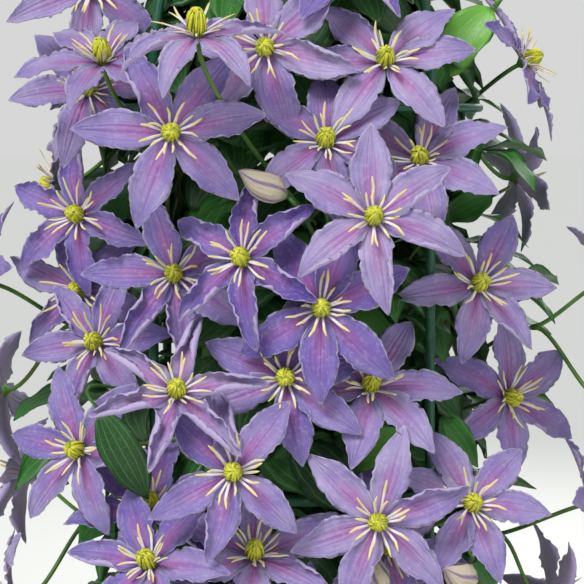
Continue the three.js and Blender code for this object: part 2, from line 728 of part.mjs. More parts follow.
function placeFrontBloom(bloom, standing) {
  const start = rayPoint(bloom.across, bloom.down, -CANOPY_RADIUS);
  const crossed = standing.filter((s) => s.bloom && mayCross(s.bloom, bloom));
  const depth = Math.min(canopyDepth(start.x), ...crossed.map((s) => s.bloom.place.y - COVER));
  for (let step = 0; step < MOST_PUSHES; step++) {
    const place = rayPoint(bloom.across, bloom.down, depth - step * PUSH);
    const tried = { ...bloom, place, matrix: facing(place, bloom.face, bloom.first) };
    const solid = bloomSolid(tried, FINE_STATIONS);
    if (clearOf(solid, standing.map((s) => s.solid))) return { ...tried, solid };
  }
  throw new Error(bloom.name + " found no clear place");
}

// Whether two front blooms are near enough in the view for their tepals to cross
function mayCross(a, b) {
  return Math.hypot(a.across - b.across, a.down - b.down) * PIXEL < (a.length + b.length) * CROSS_REACH;
}

// A pair of blooms on a forked stalk, at a turn round the plant (0 is the front) and a height, the left one
// lower than the right or the other way round
function pairForm(pair, push) {
  const out = vec(Math.sin(pair.turn), -Math.cos(pair.turn), 0);
  const side = vec(Math.cos(pair.turn), Math.sin(pair.turn), 0);
  const face = along(out.clone().multiplyScalar(Math.cos(pair.lift)), UP, Math.sin(pair.lift));
  const up = face.clone().cross(side).negate();
  const middle = along(along(vec(0, 0, pair.z), out, pair.radius), face, push * PAIR_PUSH);
  const fork = along(along(middle, face, -FORK_BEHIND), up, -FORK_BELOW);
  const blooms = [-1, 1].map((hand, i) => {
    const seed = pair.seed + i;
    const low = along(along(middle, side, hand * pair.hand * PAIR_ACROSS), up, -hand * PAIR_UP);
    const place = along(low, face, i * PAIR_STEP);
    const nod = -hand * PAIR_NOD + spread(seed, 71, 0.15);
    const turned = along(along(face, side, hand * pair.hand * PAIR_SPLAY), up, nod).normalize();
    const spin = draw(seed, 75) * 2 * Math.PI;
    const first = along(side.clone().multiplyScalar(Math.cos(spin)), up, Math.sin(spin));
    const matrix = facing(place, turned, first);
    return {
      seed,
      length: PAIR_LENGTH * (1 + spread(seed, 72, 0.08)),
      root: (PAIR_ROOT_SLOPE + spread(seed, 73, 6)) * RAD,
      tip: (PAIR_TIP_SLOPE + spread(seed, 74, 8)) * RAD,
      place,
      face: turned,
      matrix,
      corner: vec(Math.cos(Math.PI / 3), -Math.sin(Math.PI / 3), 0).transformDirection(matrix),
    };
  });
  return { blooms, fork, face };
}

// A pair in one solid: its two stalks meet at the fork, the second a little further back
function pairSolid({ blooms, fork, face }) {
  return joined(
    blooms.map((b, i) => {
      const head = along(b.place, b.face, -HUB_UNDER);
      const foot = along(fork, face, -0.8 * i);
      const stalk = curve([head, along(head, b.face, -16), along(foot, face, 12), foot], STALK_STEPS);
      return bloomSolid(b, PLAIN_STATIONS, stalk);
    }),
  );
}

function placePair(pair, standing) {
  for (let push = 0; push < MOST_PUSHES; push++) {
    const form = pairForm(pair, push);
    const solid = pairSolid(form);
    if (clearOf(solid, standing.map((s) => s.solid))) return { ...pair, ...form, solid };
  }
  throw new Error(pair.name + " found no clear place");
}

function sidePairs() {
  const pairs = [];
  SIDE_ROWS.forEach((row, r) => {
    for (let i = 0; i < row.count; i++) {
      const seed = 100 + pairs.length * 2;
      pairs.push({
        name: `spray_${String(pairs.length + 1).padStart(2, "0")}`,
        seed,
        turn: (row.start + i * row.step + spread(seed, 76, 5)) * RAD,
        z: row.z + spread(seed, 77, 10),
        radius: row.radius,
        lift: row.lift * RAD,
        hand: (i + r) % 2 ? 1 : -1,
      });
    }
  });
  return pairs;
}

// A bud: a closed spindle of folded tepals, six-sided, pointed, fuller towards its root
function budSolid(length, radius, matrix) {
  const rings = [
    [0.05, 0.35],
    [0.3, 1],
    [0.62, 0.86],
    [0.88, 0.36],
  ];
  const points = [];
  for (const [s, r] of rings) {
    for (let k = 0; k < 6; k++) {
      const turn = (k * Math.PI) / 3;
      points.push(vec(radius * r * Math.cos(turn), radius * r * Math.sin(turn), length * s));
    }
  }
  const foot = points.push(vec(0, 0, 0)) - 1;
  const tip = points.push(vec(0, 0, length)) - 1;
  const triangles = [];
  for (let k = 0; k < 6; k++) {
    const next = (k + 1) % 6;
    triangles.push([foot, next, k], [18 + k, 18 + next, tip]);
    for (let i = 0; i < 3; i++) {
      const base = i * 6;
      triangles.push([base + k, base + next, base + next + 6], [base + k, base + next + 6, base + k + 6]);
    }
  }
  return solidOf(points.map((p) => p.applyMatrix4(matrix)), triangles);
}

function placeBud(row, index, standing) {
  const [across, down, right, up, length, radius] = row;
  const face = viewDirection(right, up);
  for (let step = 0; step < MOST_PUSHES; step++) {
    const place = rayPoint(across, down, BUD_DEPTH - step * PUSH);
    const solid = budSolid(length, radius, facing(place, face, VIEW_UP));
    if (clearOf(solid, standing.map((s) => s.solid))) {
      return { name: `bud_${index + 1}`, place, face, solid };
    }
  }
  throw new Error("a bud found no clear place");
}

// The sections and the tip of a leaflet, an arched lens with a pointed tip
function leafletRows(leaf, stations) {
  const side = leaf.up.clone().cross(leaf.way).normalize();
  const up = leaf.way.clone().cross(side);
  const at = (s, across, lift) => {
    const [out, height, slope] = arc(leaf.length, leaf.root, leaf.tip, s);
    const p = along(leaf.place, leaf.way, out - Math.sin(slope) * lift);
    return along(along(p, up, height + Math.cos(slope) * lift), side, across);
  };
  const rows = stations.map((s) => {
    const half = leaf.width * tepalHalf(s * LEAF_SHIFT);
    const fold = LEAFLET_FOLD * half;
    const middle = BLADE_THICKNESS / 2;
    return [at(s, -half, fold), at(s, 0, middle), at(s, half, fold), at(s, 0, -middle)];
  });
  return { rows, end: at(1, 0, 0), start: at(0, 0, 0) };
}

// A leaflet by itself, to find out whether it would stand clear
function leafletSolid(leaf) {
  const points = [];
  const put = (p) => points.push(p) - 1;
  const { rows, end, start } = leafletRows(leaf, leaf.stations);
  const numbered = rows.map((row) => row.map(put));
  const [root, tip] = [put(start), put(end)];
  const [a, t, b, u] = numbered[0];
  const near = [[root, a, t], [root, t, b], [root, u, a], [root, b, u]];
  return solidOf(points, [...near, ...bladeTriangles(numbered, tip)]);
}

// What a leaf adds to its vine's skin: a stalk to a hub, and up to three leaflets round the hub. An arm whose
// leaflet is missing is closed flat.
function leafGrowth(root, form, kept) {
  return (base, put, triangles) => {
    const side = form.up.clone().cross(form.forward).normalize();
    const up = form.forward.clone().cross(side);
    const places = [-30, 30, 120, 240].map((turn) => {
      const [c, s] = [Math.cos(turn * RAD), Math.sin(turn * RAD)];
      return along(along(form.end, form.forward, LEAF_HUB * c), side, LEAF_HUB * s);
    });
    places.push(along(form.end, up, PETIOLE_RADIUS), along(form.end, up, -PETIOLE_RADIUS));
    const [right, left, backLeft, backRight, top, bottom] = places.map(put);
    const arms = [
      [right, left, form.leaflets[0]],
      [left, backLeft, form.leaflets[1]],
      [backRight, right, form.leaflets[2]],
    ];
    for (const [a, b, leaf] of arms) {
      if (!leaf || !kept.includes(leaf)) {
        triangles.push([top, a, b], [bottom, b, a]);
        continue;
      }
      const { rows, end } = leafletRows(leaf, leaf.stations);
      const numbered = rows.map((row) => row.map(put));
      const [a1, t1, b1, u1] = numbered[0];
      triangles.push([a, a1, t1], [a, t1, top], [b, top, t1], [b, t1, b1]);
      triangles.push([a, u1, a1], [a, bottom, u1], [b, u1, bottom], [b, b1, u1]);
      triangles.push(...bladeTriangles(numbered, put(end)));
    }
    const rings = stalkRings(root, form.petiole, form.steps, PETIOLE_RADIUS);
    const last = rings.pop();
    const hub = [backLeft, top, backRight, bottom];
    const hubPlaces = [places[2], places[4], places[3], places[5]];
    const shift = [0, 1, 2, 3].sort((m, n) => ringGap(last, hubPlaces, m) - ringGap(last, hubPlaces, n))[0];
    const turned = hub.map((_, k) => hub[(k + shift) % 4]);
    wallBetween([base, ...rings.map((ring) => ring.map(put)), turned], triangles);
  };
}

// How far apart the corners of two rings lie when one is turned by a number of corners
function ringGap(ring, other, shift) {
  return ring.reduce((sum, p, k) => sum + p.distanceTo(other[(k + shift) % other.length]), 0);
}

// One way that a leaf may stand at a vine's node: its stalk and three leaflets
function leafForm(vines, vine, node, hand, variant) {
  const seed = LEAF_SEED + (vine * NODE_COUNT + node) * 2 + (hand > 0 ? 1 : 0);
  const root = vinePoint(vine, nodeZ(node));
  const out = vec(root.x, root.y, 0).normalize();
  const side = vec(-out.y, out.x, 0);
  const turn = hand * (LEAF_TURN + draw(seed, 1) * LEAF_TURN_RANGE + variant * LEAF_TURN_STEP) * RAD;
  const rise = (LEAF_RISE - variant * LEAF_RISE_STEP + spread(seed, 2, 14)) * RAD;
  const flat = out.clone().multiplyScalar(Math.cos(turn)).addScaledVector(side, Math.sin(turn));
  const way = along(flat.clone().multiplyScalar(Math.cos(rise)), UP, Math.sin(rise));
  const reach = PETIOLE_LENGTH + draw(seed, 3) * PETIOLE_RANGE - variant * 2;
  const end = along(along(root, way, reach), UP, -3);
  const leaflets = [0, 1, -1].map((place, i) => {
    const swing = place * (SIDE_LEAFLET_TURN + spread(seed, 4 + i, 5)) * RAD;
    const tilt = (6 + spread(seed, 8 + i, 14)) * RAD;
    const forward = flat.clone().applyAxisAngle(UP, swing);
    const length = (LEAFLET_LENGTH + draw(seed, 12 + i) * LEAFLET_RANGE) * (place ? SIDE_LEAFLET : 1);
    return {
      place: along(end, forward, 1.5),
      way: along(forward.clone().multiplyScalar(Math.cos(tilt)), UP, Math.sin(tilt)),
      up: UP,
      length,
      width: length * LEAFLET_WIDTH,
      root: LEAFLET_ROOT_SLOPE * RAD,
      tip: (LEAFLET_TIP_SLOPE + spread(seed, 16 + i, 16)) * RAD,
      stations: place ? PLAIN_STATIONS : LEAF_STATIONS,
    };
  });
  const from = facesTowards(vines, vine, node, way).find((face) => !face.growth);
  if (!from) return null;
  const petiole = [from.middle, along(from.middle, from.out, 9), along(end, flat, -9), end];
  return { from, petiole, steps: 1, end, forward: flat, up: UP, leaflets };
}

// A large leaf at a place of the view, set as far back as it stands clear
function frontLeaf(row, standing) {
  const [acrossRoot, downRoot, acrossTip, downTip, width, behind, forward] = row;
  for (let step = 0; step < 30; step++) {
    const start = rayPoint(acrossRoot, downRoot, -CANOPY_RADIUS);
    const depth = canopyDepth(start.x) + behind - step * PUSH;
    const root = rayPoint(acrossRoot, downRoot, depth);
    const tip = rayPoint(acrossTip, downTip, depth - forward);
    const way = tip.clone().sub(root);
    const length = way.length() * 1.04;
    way.normalize();
    const up = along(VIEW_IN.clone().negate(), UP, 0.35);
    const slopes = { root: FRONT_LEAF_ROOT_SLOPE * RAD, tip: FRONT_LEAF_TIP_SLOPE * RAD };
    const size = { length, width: (length * width) / 2, stations: LEAF_STATIONS };
    const leaf = { place: root, way, up, ...size, ...slopes };
    if (clearOf(leafletSolid(leaf), standing.map((s) => s.solid))) {
      return { end: along(root, way, -1.5), forward: way, up, leaf };
    }
  }
  throw new Error("a front leaf found no clear place");
}

// Lets a leaf grow at a node in the first of its forms that keeps two leaflets or more clear
function placeLeaf(vines, vine, node, hand, standing) {
  for (let variant = 0; variant < LEAF_VARIANTS; variant++) {
    const form = leafForm(vines, vine, node, hand, variant);
    if (!form) return false;
    const behind = form.end.y < -FRONT_HIDDEN && form.end.z > FRONT_LOW;
    if (behind && draw(vine * NODE_COUNT + node, hand) > HIDDEN_SHARE) return false;
    const others = [...solidsNotOf(standing, vine), ...partsOf(standing, vine)];
    const kept = form.leaflets.filter((leaf) => clearOf(leafletSolid(leaf), others, GAP));
    if (kept.length < 2) continue;
    const stalk = stalkTest(form.from, form.petiole, form.steps, PETIOLE_RADIUS);
    const growth = leafGrowth(form.from, form, kept);
    if (grow(form.from, growth, [stalk, ...kept.map(leafletSolid)], standing)) return true;
  }
  return false;
}

const COLOURS = {
  pot: [0xb5694a, 0.85],
  soil: [0x3a2a20, 0.95],
  support: [0x1d5a3c, 0.4],
  vine: [0x2e5f2c, 0.6],
  bloom: [0x9c8ad6, 0.65],
  bud: [0xd9d3c8, 0.65],
};

function meshOf(name, solid, kind) {
  const [color, roughness] = COLOURS[kind];
  const material = new THREE.MeshStandardMaterial({ color, roughness, metalness: 0 });
  const mesh = new THREE.Mesh(geometryOf(solid), material);
  mesh.name = name;
  return mesh;
}

// The holes that the legs and vines stand in
function soilHoles() {
  const legs = Array.from({ length: LEG_COUNT }, (_, k) => {
    const ends = [LEG_FOOT_Z - GAP, SOIL_TOP + 30].map((z) => legPoints(legTurn(k), z)[0]);
    return bar(ends, ends.map(() => ROD_RADIUS + 2 * GAP), ROD_SIDES);
  });
  return [...legs, ...Array.from({ length: VINE_COUNT }, (_, v) => vineHole(v))];
}

// Lets a stalk grow from the first vine that it reaches clear of everything, up to an end behind a bloom
function growStalk(vines, standing, end, face) {
  for (const way of STALK_WAYS) {
    const { root, controls } = stalkControls(vines, end, face, way);
    const test = stalkTest(root, controls, STALK_STEPS, STALK_RADIUS);
    if (!root.growth && grow(root, stalkGrowth(root, controls), [test], standing)) return;
  }
  throw new Error("a stalk found no clear way");
}

// Lets a large front leaf grow on the first clear way of its stalk
function growFrontLeaf(vines, standing, row) {
  const form = frontLeaf(row, standing);
  for (const way of STALK_WAYS) {
    const { root, controls } = stalkControls(vines, form.end, form.forward, way);
    const parts = [stalkTest(root, controls, STALK_STEPS, PETIOLE_RADIUS), leafletSolid(form.leaf)];
    const leaf = { ...form, petiole: controls, steps: STALK_STEPS, leaflets: [form.leaf] };
    if (!root.growth && grow(root, leafGrowth(root, leaf, leaf.leaflets), parts, standing)) return;
  }
  throw new Error("a front leaf found no clear way for its stalk");
}

// A plain body round the pot, which no bloom may reach into
function potGuard() {
  const radius = POT_TOP_RADIUS + RIM_PROUD + 6;
  const height = POT_HEIGHT + 4;
  const body = new THREE.CylinderGeometry(radius, radius, height, POT_SIDES);
  return solidOfGeometry(body.rotateX(Math.PI / 2).translate(0, 0, height / 2));
}

// The plant grows in order: front blooms and buds, their stalks, large leaves, side sprays, then other leaves
function makePlant() {
  const support = makeSupport();
  const guard = { vine: FREE, solid: potGuard() };
  const standing = [{ vine: FREE, solid: support }, guard];
  const stand = (placed, bloom) => {
    standing.push({ vine: FREE, solid: placed.solid, bloom });
    return placed;
  };
  const blooms = FRONT_BLOOMS.map(frontBloom).map((bloom) => {
    const placed = placeFrontBloom(bloom, standing);
    return stand(placed, placed);
  });
  const buds = BUDS.map((row, i) => stand(placeBud(row, i, standing)));
  standing.splice(standing.indexOf(guard), 1);
  const vines = Array.from({ length: VINE_COUNT }, (_, v) => makeVine(v));
  vines.forEach((v) => standing.push({ vine: v.vine, solid: v.stem, parts: [v.stem] }));
  for (const b of blooms) growStalk(vines, standing, along(b.place, b.face, -HUB_UNDER - 2 * GAP), b.face);
  for (const b of buds) growStalk(vines, standing, along(b.place, b.face, -2 * GAP), b.face);
  for (const row of FRONT_LEAVES) growFrontLeaf(vines, standing, row);
  const sprays = sidePairs().map((pair) => {
    const placed = stand(placePair(pair, [...standing, guard]));
    growStalk(vines, standing, along(placed.fork, placed.face, -STALK_RADIUS - 2 * GAP), placed.face);
    return placed;
  });
  for (let node = 0; node < NODE_COUNT; node++) {
    for (let v = 0; v < VINE_COUNT; v++) {
      for (const hand of [-1, 1]) placeLeaf(vines, v, node, hand, standing);
    }
  }
  const plant = new THREE.Group();
  plant.add(meshOf("pot", makePot(), "pot"), meshOf("soil", makeSoil(soilHoles()), "soil"));
  plant.add(meshOf("support", support, "support"));
  [...blooms, ...sprays].forEach((b) => plant.add(meshOf(b.name, b.solid, "bloom")));
  buds.forEach((b) => plant.add(meshOf(b.name, b.solid, "bud")));
  vines.forEach((v) => plant.add(meshOf(`vine_${v.vine + 1}`, vineSolid(v), "vine")));
  return plant;
}

export default makePlant();
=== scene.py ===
"""A potted clematis, dressed around its solids: petals, tufts, leaves, stems, rods, clay and soil.

Lengths are millimetres until a mesh is made, and metres in the scene. +Z is up and -Y is the best side.
"""

import logging
import math
from dataclasses import dataclass, field
from enum import Enum
from typing import Any, Iterable, NamedTuple

import bpy
import numpy as np
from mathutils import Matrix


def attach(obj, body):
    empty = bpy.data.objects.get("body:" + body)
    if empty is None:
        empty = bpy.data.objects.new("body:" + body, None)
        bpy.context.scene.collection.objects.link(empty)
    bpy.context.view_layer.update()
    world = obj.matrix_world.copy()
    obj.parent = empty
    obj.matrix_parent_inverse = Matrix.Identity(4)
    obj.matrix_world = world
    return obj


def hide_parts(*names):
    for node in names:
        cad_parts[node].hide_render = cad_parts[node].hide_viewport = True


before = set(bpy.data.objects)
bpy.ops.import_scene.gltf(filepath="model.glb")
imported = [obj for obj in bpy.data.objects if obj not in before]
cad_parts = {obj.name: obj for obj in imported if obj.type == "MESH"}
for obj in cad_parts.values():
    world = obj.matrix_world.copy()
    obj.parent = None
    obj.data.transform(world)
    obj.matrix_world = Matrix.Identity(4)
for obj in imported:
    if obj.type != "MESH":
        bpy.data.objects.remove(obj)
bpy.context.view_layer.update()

Array = np.ndarray
log = logging.getLogger("plant")

MM = 0.001
RAD = math.pi / 180
SEED = 7
GAP = 0.3
MATCH = 0.06
BODY = "root"
UP = np.array([0.0, 0.0, 1.0])

# Places of the front blooms, buds and large leaves in the view: half a millimetre to a pixel
PIXEL = 0.5
VIEW_MIDDLE = 292
IMAGE_SIDE = 584
SENSOR = 36.0
AIM = np.array([0.0, -100.0, 451.0])
EYE = np.array([0.0, -1400.0, 541.0])

CANOPY_RADIUS = 112.0
CANOPY_LEAST_DEPTH = 34.0
PUSH = 2.0
MOST_PUSHES = 60
COVER = 1.0
CROSS_REACH = 0.58

# Where the solids meet: the hub's seat behind a bloom's middle, the tuft's top before it, and the stalks
HUB_UNDER = 2.6
TUFT_TOP = 9.6
TUFT_RISE = 3.0
STALK_RADIUS = 1.2
PETIOLE_RADIUS = 0.9


class FrontRow(NamedTuple):
    """A front bloom: pixel, how far it turns right and up, spin, tepal length, slopes in degrees, how far its
    margins roll in, by how many degrees each tepal leans from an even star and droops at its tip, and how
    much nearer the eye it is dressed than its solid, so that its tepals cross the others' as they grow, and
    its shade from pale lilac to deep violet."""

    across: float
    down: float
    right: float
    up: float
    spin: float
    length: float
    root: float
    tip: float
    rolled: float = 0.0
    turns: tuple[float, ...] = (0.0,) * 6
    droops: tuple[float, ...] = (0.0,) * 6
    nearer: float = 0.0
    shade: float | None = None


FRONT_BLOOMS = [
    FrontRow(206, 636, -0.15, 0.2, 50, 39, 16, -24),
    FrontRow(304, 645, 0.05, 0.15, 25, 40, 14, -22),
    FrontRow(404, 634, 0.2, 0.2, 5, 39, 16, -24),
    FrontRow(150, 508, 0.0, 0.62, 20, 42, 22, -8, shade=0.7),
    FrontRow(388, 548, 0.1, 0.25, 345, 43, 14, -22, shade=0.5),
    FrontRow(88, 90, 0.15, 0.35, 10, 40, 16, -20, shade=0.35),
    FrontRow(92, -12, 0.1, 0.1, 20, 42, 12, -24, shade=0.3),
    FrontRow(508, 398, 0.45, 0.1, 30, 42, 14, -24, shade=0.45),
    FrontRow(80, 450, -0.45, 0.1, 350, 41, 14, -24, shade=0.5),
    FrontRow(420, 160, -0.1, 0.35, 27, 43, 18, -20, turns=(-1, -18, 0, 10, 13, 4), shade=0.35),
    FrontRow(385, 62, 0.0, 0.42, 358, 44, 16, -24, turns=(9, -17, 11, 2, -3, 8), shade=0.22),
    FrontRow(103, 62, -0.1, 0.8, 15, 41, 20, -20, shade=0.3),
    FrontRow(80, 290, -0.3, 0.0, 38, 40, 12, -20, shade=0.5),
    FrontRow(78, 215, -0.3, 0.1, 35, 40, 14, -20, rolled=0.4, shade=0.6),
    FrontRow(370, 388, 0.08, 0.5, 14, 44, 18, -26, turns=(-14, -10, 0, -4, 8, 1), shade=0.4),
    FrontRow(285, 378, 0.0, 0.12, 20, 43, 14, -24, turns=(-8, 0, 17, -1, 18, 2), shade=0.55),
    FrontRow(478, 285, 0.2, 0.3, 5, 41, 16, -24, turns=(-5, 0, 2, 10, 18, 5), shade=0.4),
    FrontRow(96, 343, -0.25, 0.2, 5, 38, 16, -20, shade=0.5),
    FrontRow(471, 505, 0.15, 0.32, 350, 40, 16, -24, turns=(5, 0, 6, -12, 15, -2), shade=0.45),
    FrontRow(255, 556, 0.0, 0.6, 30, 44, 20, -14, turns=(-10, 4, 12, 4, 2, 1), shade=0.4),
    FrontRow(150, 564, -0.3, 0.5, 345, 42, 18, -20, shade=0.6),
    FrontRow(174, 275, 0.0, 0.18, 40, 43, 14, -30, turns=(-10, 5, 18, 12, 0, -15), shade=0.5),
    FrontRow(
        326, 143, 0.0, 0.42, 45, 42, 20, -18,
        turns=(-7, -12, -20, -5, -5, -5), droops=(-20, -25, -30, -20, -62, -52), nearer=-8, shade=0.45,
    ),
    FrontRow(266, 48, -0.15, 0.05, 345, 46, 12, -28, turns=(1, -8, -12, 5, -1, -2), shade=0.3),
    FrontRow(171, 133, 0.0, 0.05, 12, 45, 14, -26, turns=(3, -18, -15, -15, -4, 6), shade=0.5),
    FrontRow(197, 36, -0.05, 0.9, 20, 40, 4, -56, rolled=0.35, droops=(38, 0, 0, 0, 0, 10), shade=0.12),
    FrontRow(233, 473, 0.0, 0.2, 12, 42, 14, -26, turns=(40, 30, 7, 21, 6, 5), shade=0.5),
    FrontRow(177, 393, 0.0, 0.42, 17, 42, 18, -20, rolled=1.0, turns=(-8, 4, 8, 5, 0, -5), shade=0.12),
    FrontRow(321, 309, 0.0, 0.12, 15, 46, 12, -26, turns=(8, -6, -15, 17, 10, -2), shade=0.8),
    FrontRow(243, 259, -0.28, 0.2, 29, 42, 16, -28, rolled=0.7, turns=(4, -3, -3, 13, 5, -5), shade=0.9),
    FrontRow(378, 522, 0.0, 0.05, 17, 44, 8, -16, turns=(3, -3, -3, 0, -9, 2), shade=0.28),
    FrontRow(
        373, 218, 0.04, 0.25, 33, 46, 14, -30,
        turns=(1, 2, -3, 2, 3, 9), droops=(0, 26, 20, 0, 0, 0), nearer=8, shade=0.12,
    ),
]


class SideRow(NamedTuple):
    """A level of two-bloom sprays: height, turn of the first and from one to the next, count, radius, and
    how far they look up."""

    z: float
    start: float
    step: float
    count: int
    radius: float
    lift: float


FIRST_SPRAY_SEED = 100
SIDE_ROWS = [
    SideRow(302, 95, 85, 3, 112, 4),
    SideRow(418, 88, 92, 3, 112, 10),
    SideRow(532, 100, 80, 3, 104, 18),
    SideRow(630, 30, 120, 3, 70, 48),
]


class BudRow(NamedTuple):
    """A bud: pixel, direction of its tip in the view, length, radius, and where it is dressed from its solid:
    how much nearer the eye, and how far right and up."""

    across: float
    down: float
    right: float
    up: float
    length: float
    radius: float
    nearer: float = 0.0
    shift: tuple[float, float] = (0.0, 0.0)


BUDS = [
    BudRow(276, 186, -0.9, 0.4, 27, 5.6, 36, (5.5, -5.0)),
    BudRow(474, 582, -0.7, 0.3, 23, 6),
    BudRow(379, 590, -0.2, 0.85, 20, 5.5),
]
BUD_DEPTH = -92.0

# The rings of anthers: how many, and the shares of the dome's climb where they start and end
ANTHER_RINGS = [(20, -0.05, 0.66), (18, 0.16, 0.86), (13, 0.42, 1.02), (7, 0.72, 1.08)]

# A bud's radius as a part of its greatest, by the share of its length
BUD_PROFILE = [
    (0, 0.2), (0.05, 0.42), (0.16, 0.8), (0.3, 1), (0.48, 1),
    (0.62, 0.88), (0.78, 0.62), (0.9, 0.34), (0.97, 0.14), (1, 0.03),
]


class LeafRow(NamedTuple):
    """A large front leaf: pixels of root and tip, width as a part of its length, how far behind and forward,
    its tone from dark to bright, and how far its tip hangs."""

    root_across: float
    root_down: float
    tip_across: float
    tip_down: float
    width: float
    behind: float
    forward: float
    tone: float = 0.6
    hang: float = 26.0


FRONT_LEAVES = [
    LeafRow(100, 412, 148, 503, 0.4, -30, 6, 0.12, 44.0),
    LeafRow(332, 436, 262, 484, 0.5, 26, 4, 0.5),
    LeafRow(342, 468, 404, 428, 0.5, 22, 6, 0.85),
    LeafRow(352, 302, 404, 352, 0.42, 34, 4, 0.75),
    LeafRow(440, 292, 404, 346, 0.44, 36, 6, 0.7),
    LeafRow(492, 8, 428, 82, 0.5, 30, 4, 1.0),
    LeafRow(492, 196, 440, 222, 0.55, 30, 4, 0.65),
    LeafRow(176, 84, 128, 60, 0.5, 40, 4),
    LeafRow(300, 232, 322, 184, 0.45, 50, 4),
    LeafRow(150, 352, 132, 318, 0.6, 44, 4),
    LeafRow(432, 408, 476, 468, 0.42, 34, 4),
    LeafRow(318, 470, 300, 512, 0.6, 40, 4),
    LeafRow(222, 190, 252, 140, 0.5, 50, 4),
    LeafRow(300, 66, 340, 30, 0.5, 46, 4),
    LeafRow(212, 330, 246, 300, 0.5, 44, 4),
    LeafRow(474, 560, 496, 600, 0.5, 36, 4),
    LeafRow(130, 182, 104, 236, 0.45, 44, 4),
    LeafRow(214, 556, 176, 600, 0.5, 44, 4),
]


# Numbers and curves


def draw(row: Any, column: Any) -> Any:
    """A repeatable draw from 0 to 1: the fraction of 43758.5453 times the sine of a weighted sum."""
    value = np.sin(np.asarray(row) * 12.9898 + np.asarray(column) * 78.233 + SEED) * 43758.5453
    return value - np.floor(value)


def spread(row: Any, column: Any, amount: float) -> Any:
    """A draw from minus an amount to plus that amount."""
    return (2 * draw(row, column) - 1) * amount


def unit(v: Array) -> Array:
    """Vectors divided by their lengths."""
    return v / np.maximum(np.linalg.norm(v, axis=-1, keepdims=True), 1e-12)


def circle(count: int) -> Array:
    """Angles of a count of places, evenly round a circle."""
    return 2 * np.pi * np.arange(count) / count


def rotated(x: Array, y: Array, turn: Array) -> tuple[Array, Array]:
    """Two coordinates turned by an angle: the usual sums of their products with its cosine and sine."""
    cos, sin = np.cos(turn), np.sin(turn)
    return x * cos - y * sin, x * sin + y * cos


def smooth(low: float, high: float, x: Array) -> Array:
    """The smooth step: with t from 0 at low to 1 at high, three t squared less two t cubed."""
    t = np.clip((x - low) / (high - low), 0, 1)
    return t * t * (3 - 2 * t)


def blade_half(s: Array) -> Array:
    """Half width of a blade at a share of its length: a narrow root plus a leaning sine arch."""
    inside = np.clip(s, 0, 1)
    return 0.2 * (1 - inside) ** 2 + np.sin(np.pi * inside**0.9) ** 0.9


def arc(length: Array, root: Array, tip: Array, s: Array) -> tuple[Array, Array, Array]:
    """The middle line of a blade, whose slope turns evenly: the integrals of its cosine and its sine.

    Args:
        length: length along the line.
        root: slope where it starts, in radians.
        tip: slope where it ends.
        s: share of the length.

    Returns:
        Distance out, height and slope.
    """
    turn = np.where(np.abs(tip - root) < 1e-6, 1e-6, tip - root)
    slope = root + turn * s
    out = length * (np.sin(slope) - np.sin(root)) / turn
    height = -length * (np.cos(slope) - np.cos(root)) / turn
    return out, height, slope


def bezier(controls: Array, t: Array) -> Array:
    """Points of the cubic curve of four control points: each weighted by its Bernstein polynomial.

    Args:
        controls: (..., 4, 3) control points.
        t: (n,) shares of the curve.

    Returns:
        (..., n, 3) points.
    """
    weights = np.stack([(1 - t) ** 3, 3 * t * (1 - t) ** 2, 3 * t * t * (1 - t), t**3], axis=-1)
    return weights @ controls


def rings_along(path: Array, radii: Array, sides: int, towards: Array | None = None) -> Array:
    """Rings of points round a path; each ring's first corner is the last one's, made level with the path.

    Args:
        path: (n, 3) places.
        radii: (n,) radius at each.
        sides: corners of a ring.
        towards: direction of the first corner.

    Returns:
        (n, sides, 3) points.
    """
    index = np.arange(len(path))
    ways = unit(path[np.minimum(index + 1, len(path) - 1)] - path[np.maximum(index - 1, 0)])
    if towards is None:
        towards = UP if abs(ways[0, 2]) < 0.9 else np.array([1.0, 0.0, 0.0])
    turn = circle(sides)
    rings = np.empty((len(path), sides, 3))
    side = towards
    for i, way in enumerate(ways):
        side = unit(side - way * (side @ way))
        across = np.cross(way, side)
        rings[i] = path[i] + radii[i] * (np.cos(turn)[:, None] * side + np.sin(turn)[:, None] * across)
    return rings


# Surfaces


@dataclass
class Surface:
    """Faces ready to be a mesh: points in mm, corners (-1 ends a triangle), UVs, and a value of each face."""

    points: Array
    faces: Array
    uv: Array
    tone: Array
    under: Array
    finish: Array

    @staticmethod
    def join(surfaces: Iterable["Surface"]) -> "Surface":
        """One surface of several: their arrays end to end, with the corners counted on."""
        parts = list(surfaces)
        starts = np.cumsum([0] + [len(p.points) for p in parts[:-1]])
        faces = [np.where(p.faces < 0, -1, p.faces + k) for p, k in zip(parts, starts)]
        keys = ("points", "uv", "tone", "under", "finish")
        rest = {key: np.concatenate([getattr(p, key) for p in parts]) for key in keys}
        return Surface(faces=np.concatenate(faces), **rest)

    def placed(self, axes: Array, place: Array) -> "Surface":
        """The surface in a frame of three axes, which are rows, at a place."""
        return Surface(self.points @ axes + place, self.faces, self.uv, self.tone, self.under, self.finish)


def repeated(faces: Array, uv: Array, size: int, count: int) -> tuple[Array, Array]:
    """The faces of one shape, counted on for each of its copies.

    Args:
        faces: (m, 4) corners of one copy.
        uv: (points, 2) place on the surface of each point of one copy.
        size: points in one copy.
        count: number of copies.

    Returns:
        Corners of all copies, and the UV of each corner.
    """
    every = np.where(faces < 0, -1, faces + size * np.arange(count)[:, None, None]).reshape(-1, 4)
    return every, np.tile(uv[faces], (count, 1, 1))


